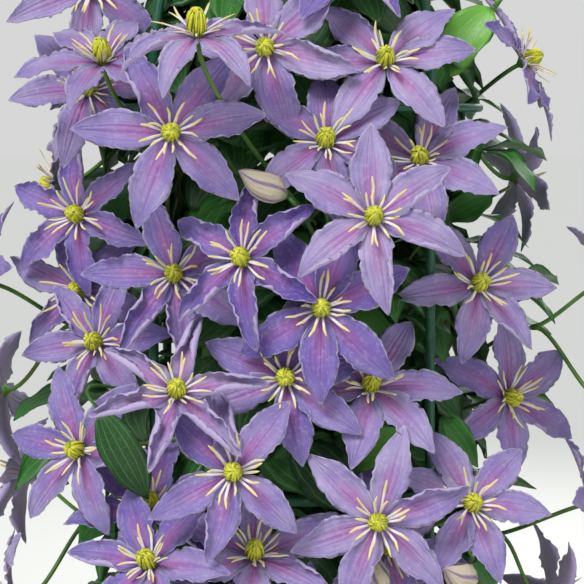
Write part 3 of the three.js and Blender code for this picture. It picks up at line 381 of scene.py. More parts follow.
def ring_quads(rings: int, sides: int, wrap: bool = False) -> Array:
    """The four-sided faces from each ring of corners to the next, and in a wrap from the last to the first."""
    i, j = np.meshgrid(np.arange(rings if wrap else rings - 1), np.arange(sides), indexing="ij")
    low, high, after = i * sides, (i + 1) % rings * sides, (j + 1) % sides
    return np.stack([low + j, low + after, high + after, high + j], axis=-1).reshape(-1, 4)


def tubes(points: Array, finish: int, tone: Array) -> Surface:
    """Closed skins round rings of points, each end closed by triangles round its middle.

    Args:
        points: (copies, rings, corners, 3), the corners counted left-handed round the way.
        finish: number of the finish.
        tone: (copies,) value of each copy.

    Returns:
        The skins, with U round and V along.
    """
    count, rows, cols, _ = points.shape
    ring = np.arange(cols)
    after, last = (ring + 1) % cols, (rows - 1) * cols
    foot, none = np.full(cols, rows * cols), np.full(cols, -1)
    low = np.stack([after, ring, foot, none], axis=-1)
    high = np.stack([last + ring, last + after, foot + 1, none], axis=-1)
    ends = points[:, [0, -1]].mean(axis=2)
    every = np.concatenate([points.reshape(count, -1, 3), ends], axis=1)
    u, v = np.meshgrid(np.arange(cols) / cols, np.linspace(0, 1, rows))
    uv = np.concatenate([np.stack([u, v], axis=-1).reshape(-1, 2), [[0.5, 0.0], [0.5, 1.0]]])
    own = np.concatenate([ring_quads(rows, cols), low, high])
    faces, corners = repeated(own, uv, rows * cols + 2, count)
    tones, number = np.repeat(tone, len(own)), np.full(len(faces), finish)
    return Surface(every.reshape(-1, 3), faces, corners, tones, np.zeros(len(faces)), number)


def rods(paths: Array, radii: Array, sides: int, finish: int, tone: Array, flat: float = 1.0) -> Surface:
    """Bars along paths, their rings carried from one place to the next without a twist.

    Args:
        paths: (copies, n, 3) places.
        radii: (copies, n) radius at each.
        sides: corners of a ring.
        finish: number of the finish.
        tone: (copies,) value of each copy.
        flat: thickness as a part of the width.

    Returns:
        The closed skins.
    """
    ways = unit(np.gradient(paths, axis=1))
    side = np.cross(ways[:, 0], UP)
    side = np.where(np.linalg.norm(side, axis=-1, keepdims=True) < 0.2, [1.0, 0.0, 0.0], side)
    turn = circle(sides)
    rings = np.empty((*paths.shape[:2], sides, 3))
    for i in range(paths.shape[1]):
        way = ways[:, i]
        side = unit(side - way * (side * way).sum(-1, keepdims=True))
        across = np.cross(way, side)
        ring = np.cos(turn)[:, None] * side[:, None] + flat * np.sin(turn)[:, None] * across[:, None]
        rings[:, i] = paths[:, i, None] + radii[:, i, None, None] * ring
    return tubes(rings, finish, tone)


def blades(points: Array, thickness: float, finish: int, tone: Array) -> Surface:
    """Thin closed leaves: an upper sheet, and a lower one a thickness below it that meets it at the edge.

    Args:
        points: (copies, rows, columns, 3) of the upper sheet, its rows from root to tip.
        thickness: distance between the sheets in the middle.
        finish: number of the finish.
        tone: (copies,) value of each copy.

    Returns:
        The blades, with U across and V along, and 1 under each face of the lower sheets.
    """
    count, rows, cols, _ = points.shape
    normal = unit(np.cross(np.gradient(points, axis=1), np.gradient(points, axis=2)))
    inner = (slice(None), slice(1, -1), slice(1, -1))
    edge = np.linspace(-1, 1, cols)[1:-1]
    depth = thickness * (1 - edge**6)[None, None, :, None]
    lower = points[inner] - normal[inner] * depth
    every = np.concatenate([points.reshape(count, -1, 3), lower.reshape(count, -1, 3)], axis=1)
    top = np.arange(rows * cols).reshape(rows, cols)
    below = top.copy()
    below[1:-1, 1:-1] = rows * cols + np.arange((rows - 2) * (cols - 2)).reshape(rows - 2, cols - 2)
    upper = np.stack([top[:-1, :-1], top[1:, :-1], top[1:, 1:], top[:-1, 1:]], axis=-1).reshape(-1, 4)
    under = np.stack([below[:-1, :-1], below[:-1, 1:], below[1:, 1:], below[1:, :-1]], axis=-1).reshape(-1, 4)
    u, v = np.meshgrid(np.linspace(0, 1, cols), np.linspace(0, 1, rows))
    grid = np.stack([u, v], axis=-1)
    uv = np.concatenate([grid.reshape(-1, 2), grid[1:-1, 1:-1].reshape(-1, 2)])
    faces, corners = repeated(np.concatenate([upper, under]), uv, every.shape[1], count)
    lower_side = np.tile(np.repeat([0.0, 1.0], len(upper)), count)
    tones, number = np.repeat(tone, 2 * len(upper)), np.full(len(faces), finish)
    return Surface(every.reshape(-1, 3), faces, corners, tones, lower_side, number)


def turned(profile: Array, sides: int, finish: int) -> Surface:
    """A turned body: a profile of radius and height, carried round Z, whose ends lie on the axis."""
    turn = circle(sides)
    ring = np.stack([np.cos(turn), np.sin(turn), np.zeros(sides)], axis=-1)
    points = profile[:, None, :1] * ring[None] + profile[:, None, 1:] * UP
    return tubes(points[None], finish, np.array([0.5]))


def linked(name: str, data: Any) -> bpy.types.Object:
    """A new object that shows some data, linked to the scene."""
    made = bpy.data.objects.new(name, data)
    bpy.context.scene.collection.objects.link(made)
    return made


def joined_object(name: str, surface: Surface, finishes: list[bpy.types.Material]) -> bpy.types.Object:
    """A mesh object in metres, with its UV map, the tone and underside of each face, and its finishes.

    Args:
        name: the piece's name.
        surface: what it is made of.
        finishes: materials in the order that the surface numbers them.

    Returns:
        The object, linked to the scene.
    """
    mesh = bpy.data.meshes.new(name)
    keep = surface.faces >= 0
    sizes = keep.sum(axis=1)
    mesh.vertices.add(len(surface.points))
    mesh.vertices.foreach_set("co", (surface.points * MM).astype(np.float32).ravel())
    mesh.loops.add(int(sizes.sum()))
    mesh.loops.foreach_set("vertex_index", surface.faces[keep].astype(np.int32))
    mesh.polygons.add(len(sizes))
    mesh.polygons.foreach_set("loop_start", (np.cumsum(sizes) - sizes).astype(np.int32))
    mesh.polygons.foreach_set("material_index", surface.finish.astype(np.int32))
    mesh.polygons.foreach_set("use_smooth", np.ones(len(sizes), dtype=bool))
    mesh.uv_layers.new(name="form").data.foreach_set("uv", surface.uv[keep].astype(np.float32).ravel())
    for key in ("tone", "under"):
        values = getattr(surface, key).astype(np.float32)
        mesh.attributes.new(key, "FLOAT", "FACE").data.foreach_set("value", values)
    for finish in finishes:
        mesh.materials.append(finish)
    mesh.update()
    mesh.validate()
    return linked(name, mesh)


def stand_for(piece: bpy.types.Object, nodes: Iterable[str]) -> None:
    """Lets a piece ride on the plant's body and stand for solids, which are hidden."""
    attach(piece, BODY)
    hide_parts(*nodes)
    log.info("%s: %d faces", piece.name, len(piece.data.polygons))


# The view and the solids


@dataclass(frozen=True)
class View:
    """The view that the front is laid out in."""

    eye: tuple[float, float, float] = tuple(EYE)
    aim: tuple[float, float, float] = tuple(AIM)

    @property
    def axes(self) -> tuple[Array, Array, Array]:
        """The directions in, right and up."""
        inward = unit(np.array(self.aim) - np.array(self.eye))
        right = np.array([1.0, 0.0, 0.0])
        return inward, right, np.cross(right, inward)

    @property
    def focal(self) -> float:
        """Distance in pixels at which a pixel is as wide as at the plant's front."""
        return float(np.linalg.norm(np.array(self.aim) - np.array(self.eye)) / PIXEL)

    def ray_point(self, across: float, down: float, depth: float) -> Array:
        """The point on a pixel's ray at a depth: the eye plus the ray, scaled to reach that Y."""
        inward, right, up = self.axes
        ray = inward * self.focal + right * (across - VIEW_MIDDLE) + up * (VIEW_MIDDLE - down)
        return np.array(self.eye) + ray * ((depth - self.eye[1]) / ray[1])

    def ray_points(self, across: float, down: float, depth: float) -> Array:
        """The points on a pixel's ray from a depth on, each a push nearer the eye than the one before."""
        return np.array([self.ray_point(across, down, depth - n * PUSH) for n in range(MOST_PUSHES)])

    def direction(self, right: float, up: float) -> Array:
        """A direction towards the eye, turned by parts of 1 to the right and up."""
        inward, across, above = self.axes
        return -inward * math.sqrt(max(0.0, 1 - right * right - up * up)) + across * right + above * up

    def canopy_depth(self, across: float, down: float) -> float:
        """Depth of the canopy's front on a pixel's ray: a round front, less deep at the sides."""
        x = self.ray_point(across, down, -CANOPY_RADIUS)[0]
        return -math.sqrt(max(CANOPY_RADIUS**2 - x * x, CANOPY_LEAST_DEPTH**2))


VIEW = View()


def nearer_eye(place: Array, by: float) -> Array:
    """A place moved towards the eye by a distance."""
    return place + unit(np.array(VIEW.eye) - place) * by


class SolidPoints:
    """The corner points of a solid in millimetres, to find which of its possible forms it has."""

    def __init__(self, *nodes: str) -> None:
        """Reads the corners of one or more nodes."""
        found = []
        for node in nodes:
            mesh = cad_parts[node].data
            flat = np.empty(len(mesh.vertices) * 3, dtype=np.float32)
            mesh.vertices.foreach_get("co", flat)
            found.append(flat.reshape(-1, 3).astype(float) / MM)
        self.points = np.unique(np.round(np.concatenate(found), 2), axis=0)

    def gaps(self, places: Array) -> Array:
        """Distance of each place, (n, 3), from the nearest corner."""
        away = places[:, None] - self.points[None]
        return np.sqrt((away * away).sum(-1).min(axis=1))

    def choose(self, places: Array, what: str) -> int:
        """The place that lies on a corner.

        Args:
            places: (n, 3) places, one for each possible form.
            what: the piece's name, for the message.

        Returns:
            The number of the form.
        """
        gaps = self.gaps(places)
        best = int(np.argmin(gaps))
        if gaps[best] > MATCH:
            raise ValueError(f"{what} doesn't lie where its solid is, by {gaps[best]:.2f} mm")
        return best


# Finishes


def srgb(hex_code: int) -> tuple[float, float, float, float]:
    """The linear colour of a hexadecimal screen colour: each part to the power 2.4 past its straight foot."""
    parts = [((hex_code >> shift) & 255) / 255 for shift in (16, 8, 0)]
    linear = [p / 12.92 if p <= 0.04045 else ((p + 0.055) / 1.055) ** 2.4 for p in parts]
    return (*linear, 1.0)


TONE_SHIFT = 37.0


class Paint:
    """A node material as it is put together."""

    def __init__(self, name: str) -> None:
        """Starts with a Principled shader and its output."""
        self.material = bpy.data.materials.new(name)
        self.material.use_nodes = True
        self.tree = self.material.node_tree
        self.shader = self.tree.nodes["Principled BSDF"]

    def node(self, kind: str, settings: dict[str, Any] | None = None, **inputs: Any) -> Any:
        """Adds a node.

        Args:
            kind: the node's type without its ShaderNode prefix.
            settings: attributes of the node.
            **inputs: values or sockets of its inputs; an underscore stands for a space, in_N for the Nth.

        Returns:
            The node.
        """
        made = self.tree.nodes.new("ShaderNode" + kind)
        for key, value in (settings or {}).items():
            setattr(made, key, value)
        for key, value in inputs.items():
            self.put(made.inputs[int(key[3:]) if key.startswith("in_") else key.replace("_", " ")], value)
        return made

    def put(self, socket: Any, value: Any) -> None:
        """Links a socket to an input, or sets a plain value on it."""
        if isinstance(value, bpy.types.NodeSocket):
            self.tree.links.new(value, socket)
        else:
            socket.default_value = value

    def math(self, operation: str, a: Any, b: Any = 0.0, clamp: bool = False) -> Any:
        """One sum of two numbers or sockets."""
        return self.node("Math", {"operation": operation, "use_clamp": clamp}, in_0=a, in_1=b).outputs[0]

    def times(self, a: Any, b: Any) -> Any:
        """The product of two numbers or sockets."""
        return self.math("MULTIPLY", a, b)

    def step(self, value: Any, low: float, high: float, to_low: float = 0.0, to_high: float = 1.0) -> Any:
        """A smooth step of a value from one range to another."""
        settings = {"interpolation_type": "SMOOTHSTEP"}
        if low > high:
            low, high, to_low, to_high = high, low, to_high, to_low
        made = self.node("MapRange", settings, in_0=value, in_1=low, in_2=high, in_3=to_low, in_4=to_high)
        return made.outputs[0]

    def over(self, base: Any, top: Any, mask: Any, amount: float = 1.0) -> Any:
        """One colour laid over another.

        Args:
            base: the colour below, a hexadecimal screen colour or a socket.
            top: the colour laid over it, given in the same way.
            mask: 1 where it is laid and 0 where it isn't.
            amount: how strongly it covers there.

        Returns:
            The mixed colour's socket.
        """
        low, high = (srgb(color) if isinstance(color, int) else color for color in (base, top))
        factor = mask if amount == 1.0 else self.times(mask, amount)
        return self.node("Mix", {"data_type": "RGBA"}, in_0=factor, in_6=low, in_7=high).outputs[2]

    def noise(self, vector: Any, scale: float, detail: float = 3.0, roughness: float = 0.55) -> Any:
        """The value of a noise."""
        made = self.node("TexNoise", None, Vector=vector, Scale=scale, Detail=detail, Roughness=roughness)
        return made.outputs[0]

    def net(self, vector: Any) -> Any:
        """The distance from the edges of a net of cells."""
        made = self.node("TexVoronoi", {"feature": "DISTANCE_TO_EDGE"}, Vector=vector, Scale=1.0)
        return made.outputs["Distance"]

    def attribute(self, name: str) -> Any:
        """A number kept on the mesh."""
        return self.node("Attribute", {"attribute_name": name}).outputs["Fac"]

    def place(self) -> Any:
        """The place in the object's own coordinates, in metres."""
        return self.node("TexCoord").outputs["Object"]

    def height(self) -> Any:
        """The height above the pot's foot, in metres."""
        return self.node("SeparateXYZ", None, in_0=self.place()).outputs[2]

    def stretched(self, vector: Any, by: tuple[float, float, float]) -> Any:
        """A place whose three coordinates are each multiplied."""
        return self.node("VectorMath", {"operation": "MULTIPLY"}, in_0=vector, in_1=by).outputs[0]

    def form(self, across: float, along: float) -> Any:
        """The place on the surface, stretched across and along, and moved on by the tone of the face."""
        uv = self.node("UVMap", {"uv_map": "form"}).outputs[0]
        shift = self.node("CombineXYZ", None, in_2=self.times(self.attribute("tone"), TONE_SHIFT)).outputs[0]
        scaled = self.stretched(uv, (across, along, 1.0))
        return self.node("VectorMath", {"operation": "ADD"}, in_0=scaled, in_1=shift).outputs[0]

    def uv_parts(self) -> tuple[Any, Any]:
        """How far from the middle line, from 0 to 1, and how far along."""
        uv = self.node("UVMap", {"uv_map": "form"}).outputs[0]
        parts = self.node("SeparateXYZ", None, in_0=uv)
        across = self.math("SUBTRACT", self.times(parts.outputs[0], 2.0), 1.0)
        return self.math("ABSOLUTE", across), parts.outputs[1]

    def bump(self, height: Any, strength: float, distance: float, normal: Any = None) -> Any:
        """A bump of a height; distance is in millimetres."""
        made = self.node("Bump", None, Strength=strength, Distance=distance * MM, Height=height)
        if normal is not None:
            self.put(made.inputs["Normal"], normal)
        return made.outputs[0]

    def done(self, color: Any, roughness: Any, normal: Any = None, **constants: Any) -> bpy.types.Material:
        """Sets the shader.

        Args:
            color: base colour.
            roughness: roughness.
            normal: bumped normal, or none.
            **constants: values of other inputs, an underscore for a space.

        Returns:
            The material.
        """
        self.put(self.shader.inputs["Base Color"], color)
        self.put(self.shader.inputs["Roughness"], roughness)
        if normal is not None:
            self.put(self.shader.inputs["Normal"], normal)
        for key, value in constants.items():
            self.shader.inputs[key.replace("_", " ")].default_value = value
        return self.material


@dataclass(frozen=True)
class TepalFinish:
    """Lilac to blue-violet petal with a magenta bar, fine veins, a pale rim and a paler underside."""

    label: str = "petal"
    light: int = 0xBDB0D2
    blue: int = 0x8B7EC4
    deep: int = 0x4C2F96
    bar: int = 0xB467AA
    # painted shade: deeper purple at each tepal's root, where the tuft shades it
    painted_root_shade: int = 0x84469A
    rim: int = 0xDDD5EC
    below: int = 0xBCACD6
    below_bar: int = 0xB4ACA6

    def material(self) -> bpy.types.Material:
        """The petal's node material."""
        p = Paint(self.label)
        across, along = p.uv_parts()
        tone = p.attribute("tone")
        cloud = p.noise(p.place(), 45.0, 2.0)
        streak = p.noise(p.form(26.0, 1.3), 1.0, 4.0, 0.6)
        crimp = p.noise(p.form(5.0, 11.0), 1.6, 4.0, 0.6)
        depth = p.math("SUBTRACT", p.math("ADD", p.times(cloud, 0.9), p.times(tone, 0.55)), 0.28, True)
        hue = p.over(self.light, self.blue, p.step(tone, 0.3, 0.75), 0.6)
        color = p.over(hue, self.deep, depth)
        reach = p.times(p.step(across, 0.66, 0.0), p.step(along, 0.82, 0.06))
        color = p.over(color, self.bar, reach, 0.9)
        # painted shade: each tepal turns deeper purple towards its root, round the tuft
        color = p.over(color, self.painted_root_shade, p.step(along, 0.2, 0.05), 0.55)
        vein = p.step(streak, 0.42, 0.62)
        color = p.over(color, self.deep, vein, 0.3)
        color = p.over(color, self.rim, p.step(crimp, 0.5, 0.7), 0.16)
        edge = p.math("MAXIMUM", p.step(across, 0.86, 0.99), p.step(along, 0.93, 1.0))
        color = p.over(color, self.rim, edge, 0.6)
        below = p.over(p.over(self.below, self.below_bar, reach, 0.55), self.light, vein, 0.25)
        color = p.over(color, below, p.attribute("under"), 0.85)
        ribs = p.times(p.math("COSINE", p.times(across, 21.0)), p.step(across, 0.4, 0.1))
        normal = p.bump(ribs, 0.5, 0.4)
        normal = p.bump(streak, 0.75, 0.45, normal)
        normal = p.bump(crimp, 0.6, 0.6, normal)
        return p.done(color, 0.62, normal, Sheen_Weight=0.12, Sheen_Roughness=0.5, Specular_IOR_Level=0.3)


@dataclass(frozen=True)
class AntherFinish:
    """Yellow-green of the tuft, greener and darker at the foot of each anther."""

    label: str = "tuft"
    foot: int = 0x7F9022
    body: int = 0xD9D83C
    tip: int = 0xF0EC70

    def material(self) -> bpy.types.Material:
        """The tuft's node material."""
        p = Paint(self.label)
        _, along = p.uv_parts()
        grain = p.noise(p.form(6.0, 10.0), 2.0, 3.0)
        color = p.over(self.foot, self.body, p.step(along, 0.0, 0.45))
        color = p.over(color, self.tip, p.step(along, 0.6, 1.0), 0.7)
        color = p.over(color, self.foot, p.step(p.attribute("tone"), 0.3, 1.0), 0.6)
        return p.done(color, 0.6, p.bump(grain, 0.4, 0.15), Specular_IOR_Level=0.35)


@dataclass(frozen=True)
class StamenFinish:
    """White filaments with a lilac foot and a cream-yellow end."""

    label: str = "filament"
    foot: int = 0xC2AED2
    middle: int = 0xEEE8EC
    end: int = 0xE8DA98

    def material(self) -> bpy.types.Material:
        """The filaments' node material."""
        p = Paint(self.label)
        _, along = p.uv_parts()
        grain = p.noise(p.form(4.0, 20.0), 1.5, 3.0)
        color = p.over(self.foot, self.middle, p.step(along, 0.0, 0.3))
        color = p.over(color, self.end, p.step(along, 0.5, 0.8))
        color = p.over(color, self.end, p.step(grain, 0.45, 0.7), 0.25)
        return p.done(color, 0.55, p.bump(grain, 0.3, 0.12), Specular_IOR_Level=0.35)


@dataclass(frozen=True)
class StalkFinish:
    """Smooth green stalk, in places flushed brown-red, with fine ribs along it."""

    label: str = "stalk"
    green: int = 0x5F8F35
    dark: int = 0x3B6428
    flush: int = 0x6A4032

    def material(self) -> bpy.types.Material:
        """The stalk's node material."""
        p = Paint(self.label)
        cloud = p.noise(p.place(), 28.0, 2.0)
        patch = p.noise(p.place(), 11.0, 1.0)
        rib = p.noise(p.form(14.0, 3.0), 1.0, 2.0)
        color = p.over(self.green, self.dark, p.step(cloud, 0.35, 0.65))
        color = p.over(color, self.flush, p.step(patch, 0.5, 0.68), 0.35)
        return p.done(color, 0.5, p.bump(rib, 0.3, 0.2), Specular_IOR_Level=0.4)


@dataclass(frozen=True)
class BarkFinish:
    """Old stem: brown fibrous bark at the foot that gives way to a green-brown stem above."""

    label: str = "bark"
    bark: int = 0x5B4330
    pale: int = 0x8B6F50
    green: int = 0x4C5A2A
    turn_low: float = 0.26
    turn_high: float = 0.5

    def material(self) -> bpy.types.Material:
        """The old stem's node material."""
        p = Paint(self.label)
        fibre = p.noise(p.form(16.0, 6.0), 1.2, 4.0, 0.65)
        color = p.over(self.bark, self.pale, p.step(fibre, 0.35, 0.65))
        color = p.over(color, self.green, p.step(p.height(), self.turn_low, self.turn_high))
        return p.done(color, 0.75, p.bump(fibre, 0.7, 0.5), Specular_IOR_Level=0.3)


@dataclass(frozen=True)
class LeafFinish:
    """Green leaf with pale nerves from root to tip, a faint net between them, and a duller underside."""

    label: str = "leaf"
    dark: int = 0x1A4620
    mid: int = 0x3A7C32
    bright: int = 0x70B442
    nerve: int = 0x8AB866
    below: int = 0x557F50

    def material(self) -> bpy.types.Material:
        """The leaf's node material."""
        p = Paint(self.label)
        across, _ = p.uv_parts()
        tone = p.attribute("tone")
        cloud = p.noise(p.place(), 38.0, 3.0)
        color = p.over(self.dark, self.mid, p.step(tone, 0.0, 0.6))
        color = p.over(color, self.bright, p.step(tone, 0.62, 1.0))
        color = p.over(color, self.dark, p.step(cloud, 0.4, 0.7), 0.35)
        nerves: Any = 0.0
        for line in (0.0, 0.36, 0.7):
            near = p.step(p.math("ABSOLUTE", p.math("SUBTRACT", across, line)), 0.035, 0.005)
            nerves = p.math("MAXIMUM", nerves, near)
        mesh = p.step(p.net(p.form(7.0, 13.0)), 0.05, 0.0)
        lines = p.math("MAXIMUM", p.times(nerves, 0.3), p.times(mesh, 0.14))
        color = p.over(color, self.nerve, lines)
        color = p.over(color, self.below, p.attribute("under"), 0.75)
        normal = p.bump(p.times(lines, -1.0), 0.5, 0.5)
        normal = p.bump(p.noise(p.form(18.0, 26.0), 1.0, 3.0), 0.25, 0.3, normal)
        rough = p.step(cloud, 0.3, 0.7, 0.36, 0.5)
        return p.done(color, rough, normal, Specular_IOR_Level=0.45)


@dataclass(frozen=True)
class BudFinish:
    """Cream bud with soft ribs, lilac along the seams and green at its root."""

    label: str = "closed petal"
    cream: int = 0xCABCA8
    seam: int = 0x70508C
    root: int = 0x8FA35E

    def material(self) -> bpy.types.Material:
        """The bud's node material."""
        p = Paint(self.label)
        _, along = p.uv_parts()
        grain = p.noise(p.form(24.0, 3.0), 1.0, 4.0)
        color = p.over(self.cream, self.root, p.step(grain, 0.4, 0.7), 0.25)
        color = p.over(color, self.seam, p.attribute("tone"), 0.8)
        color = p.over(color, self.seam, p.step(along, 0.8, 1.0), 0.3)
        color = p.over(color, self.root, p.step(along, 0.16, 0.0), 0.8)
        return p.done(color, 0.6, p.bump(grain, 0.4, 0.25), Sheen_Weight=0.1, Specular_IOR_Level=0.3)


@dataclass(frozen=True)
class CoatFinish:
    """Green plastic coat on wire rod, a little uneven, dusty and scuffed."""

    label: str = "coat"
    coat: int = 0x14553A
    dust: int = 0x5D7A66
    scuff: int = 0x0D3826

    def material(self) -> bpy.types.Material:
        """The coat's node material."""
        p = Paint(self.label)
        wave = p.noise(p.place(), 160.0, 2.0)
        dust = p.noise(p.place(), 60.0, 5.0, 0.7)
        color = p.over(self.coat, self.dust, p.step(dust, 0.5, 0.75), 0.5)
        color = p.over(color, self.scuff, p.step(dust, 0.4, 0.25), 0.6)
        rough = p.step(dust, 0.35, 0.7, 0.3, 0.55)
        return p.done(color, rough, p.bump(wave, 0.25, 0.2), Specular_IOR_Level=0.5)


@dataclass(frozen=True)
class ClayFinish:
    """Fired clay: turning marks round it, speckle, a damp foot and pale lime towards the rim."""

    label: str = "clay"
    clay: int = 0xB0623F
    burnt: int = 0x8C452B
    lime: int = 0xCFA488
    damp: int = 0x6E3A28

    def material(self) -> bpy.types.Material:
        """The pot's node material."""
        p = Paint(self.label)
        place, height = p.place(), p.height()
        marks = p.noise(p.stretched(place, (2.0, 2.0, 260.0)), 1.0, 3.0, 0.6)
        cloud = p.noise(place, 14.0, 5.0, 0.65)
        speck = p.noise(place, 900.0, 2.0)
        patch = p.noise(place, 22.0, 6.0, 0.7)
        color = p.over(self.clay, self.burnt, p.step(cloud, 0.3, 0.7))
        color = p.over(color, self.burnt, p.step(speck, 0.62, 0.75), 0.5)
        limed = p.times(p.step(height, 0.1, 0.22), p.step(patch, 0.46, 0.7))
        color = p.over(color, self.lime, limed, 0.75)
        foot = p.math("ADD", height, p.times(cloud, 0.05))
        color = p.over(color, self.damp, p.step(foot, 0.075, 0.03), 0.6)
        normal = p.bump(marks, 0.4, 0.5)
        normal = p.bump(speck, 0.3, 0.15, normal)
        return p.done(color, 0.86, normal, Specular_IOR_Level=0.25)


@dataclass(frozen=True)
class SoilFinish:
    """Dark potting mix with brown bark bits and a few pale ones."""

    label: str = "potting mix"
    dark: int = 0x241811
    brown: int = 0x4F3523
    pale: int = 0x8A6E50

    def material(self) -> bpy.types.Material:
        """The soil's node material."""
        p = Paint(self.label)
        grain = p.noise(p.place(), 420.0, 5.0, 0.7)
        tone = p.attribute("tone")
        color = p.over(self.dark, self.brown, p.step(grain, 0.35, 0.7))
        color = p.over(color, self.brown, p.step(tone, 0.55, 0.8), 0.6)
        color = p.over(color, self.pale, p.step(tone, 0.9, 1.0), 0.7)
        return p.done(color, 0.92, p.bump(grain, 0.8, 1.2), Specular_IOR_Level=0.2)


@dataclass(frozen=True)
class FloorFinish:
    """Plain pale floor, a little cloudy."""

    label: str = "floor"
    pale: int = 0xE4E5E1
    cloud: int = 0xD8D9D5

    def material(self) -> bpy.types.Material:
        """The floor's node material."""
        p = Paint(self.label)
        color = p.over(self.pale, self.cloud, p.noise(p.place(), 3.0, 2.0), 0.1)
        return p.done(color, 0.85, None, Specular_IOR_Level=0.2)


class Finish(Enum):
    """The plant's finishes, made once each."""

    PETAL = TepalFinish()
    TUFT = AntherFinish()
    FILAMENT = StamenFinish()
    STALK = StalkFinish()
    BARK = BarkFinish()
    LEAF = LeafFinish()
    BUD = BudFinish()
    COAT = CoatFinish()
    CLAY = ClayFinish()
    SOIL = SoilFinish()
    FLOOR = FloorFinish()

    def material(self) -> bpy.types.Material:
        """The material, made when it is first asked for."""
        return bpy.data.materials.get(self.value.label) or self.value.material()


# The finishes of a bloom and of a vine, and their numbers in the mesh
BLOOM_FINISHES = (Finish.PETAL, Finish.TUFT, Finish.FILAMENT, Finish.STALK)
PETAL, TUFT, FILAMENT, BLOOM_STALK = range(len(BLOOM_FINISHES))
VINE_FINISHES = (Finish.BARK, Finish.STALK, Finish.LEAF)
BARK, VINE_STALK, LEAF = range(len(VINE_FINISHES))


# Blooms


def cross_section(slope: Array, half: Array) -> tuple[Array, Array]:
    """Where each place across a blade lies: the sums of cosine and sine of its slope, out from the middle.

    Args:
        slope: (..., columns) slope of the section at each column, rising outwards, an odd number of columns.
        half: (...,) half width, measured along the section.

    Returns:
        Distance across and height, (..., columns).
    """
    columns = slope.shape[-1]
    middle = columns // 2
    step = (half / middle)[..., None]
    sides = []
    for part, hand in ((slope[..., middle:], 1.0), (slope[..., middle::-1], -1.0)):
        between = (part[..., 1:] + part[..., :-1]) / 2
        zero = np.zeros_like(between[..., :1])
        across = hand * np.cumsum(np.concatenate([zero, np.cos(between)], axis=-1) * step, axis=-1)
        height = np.cumsum(np.concatenate([zero, np.sin(between)], axis=-1) * step, axis=-1)
        sides.append((across, height))
    (right, right_up), (left, left_up) = sides
    return (
        np.concatenate([left[..., :0:-1], right], axis=-1),
        np.concatenate([left_up[..., :0:-1], right_up], axis=-1),
    )


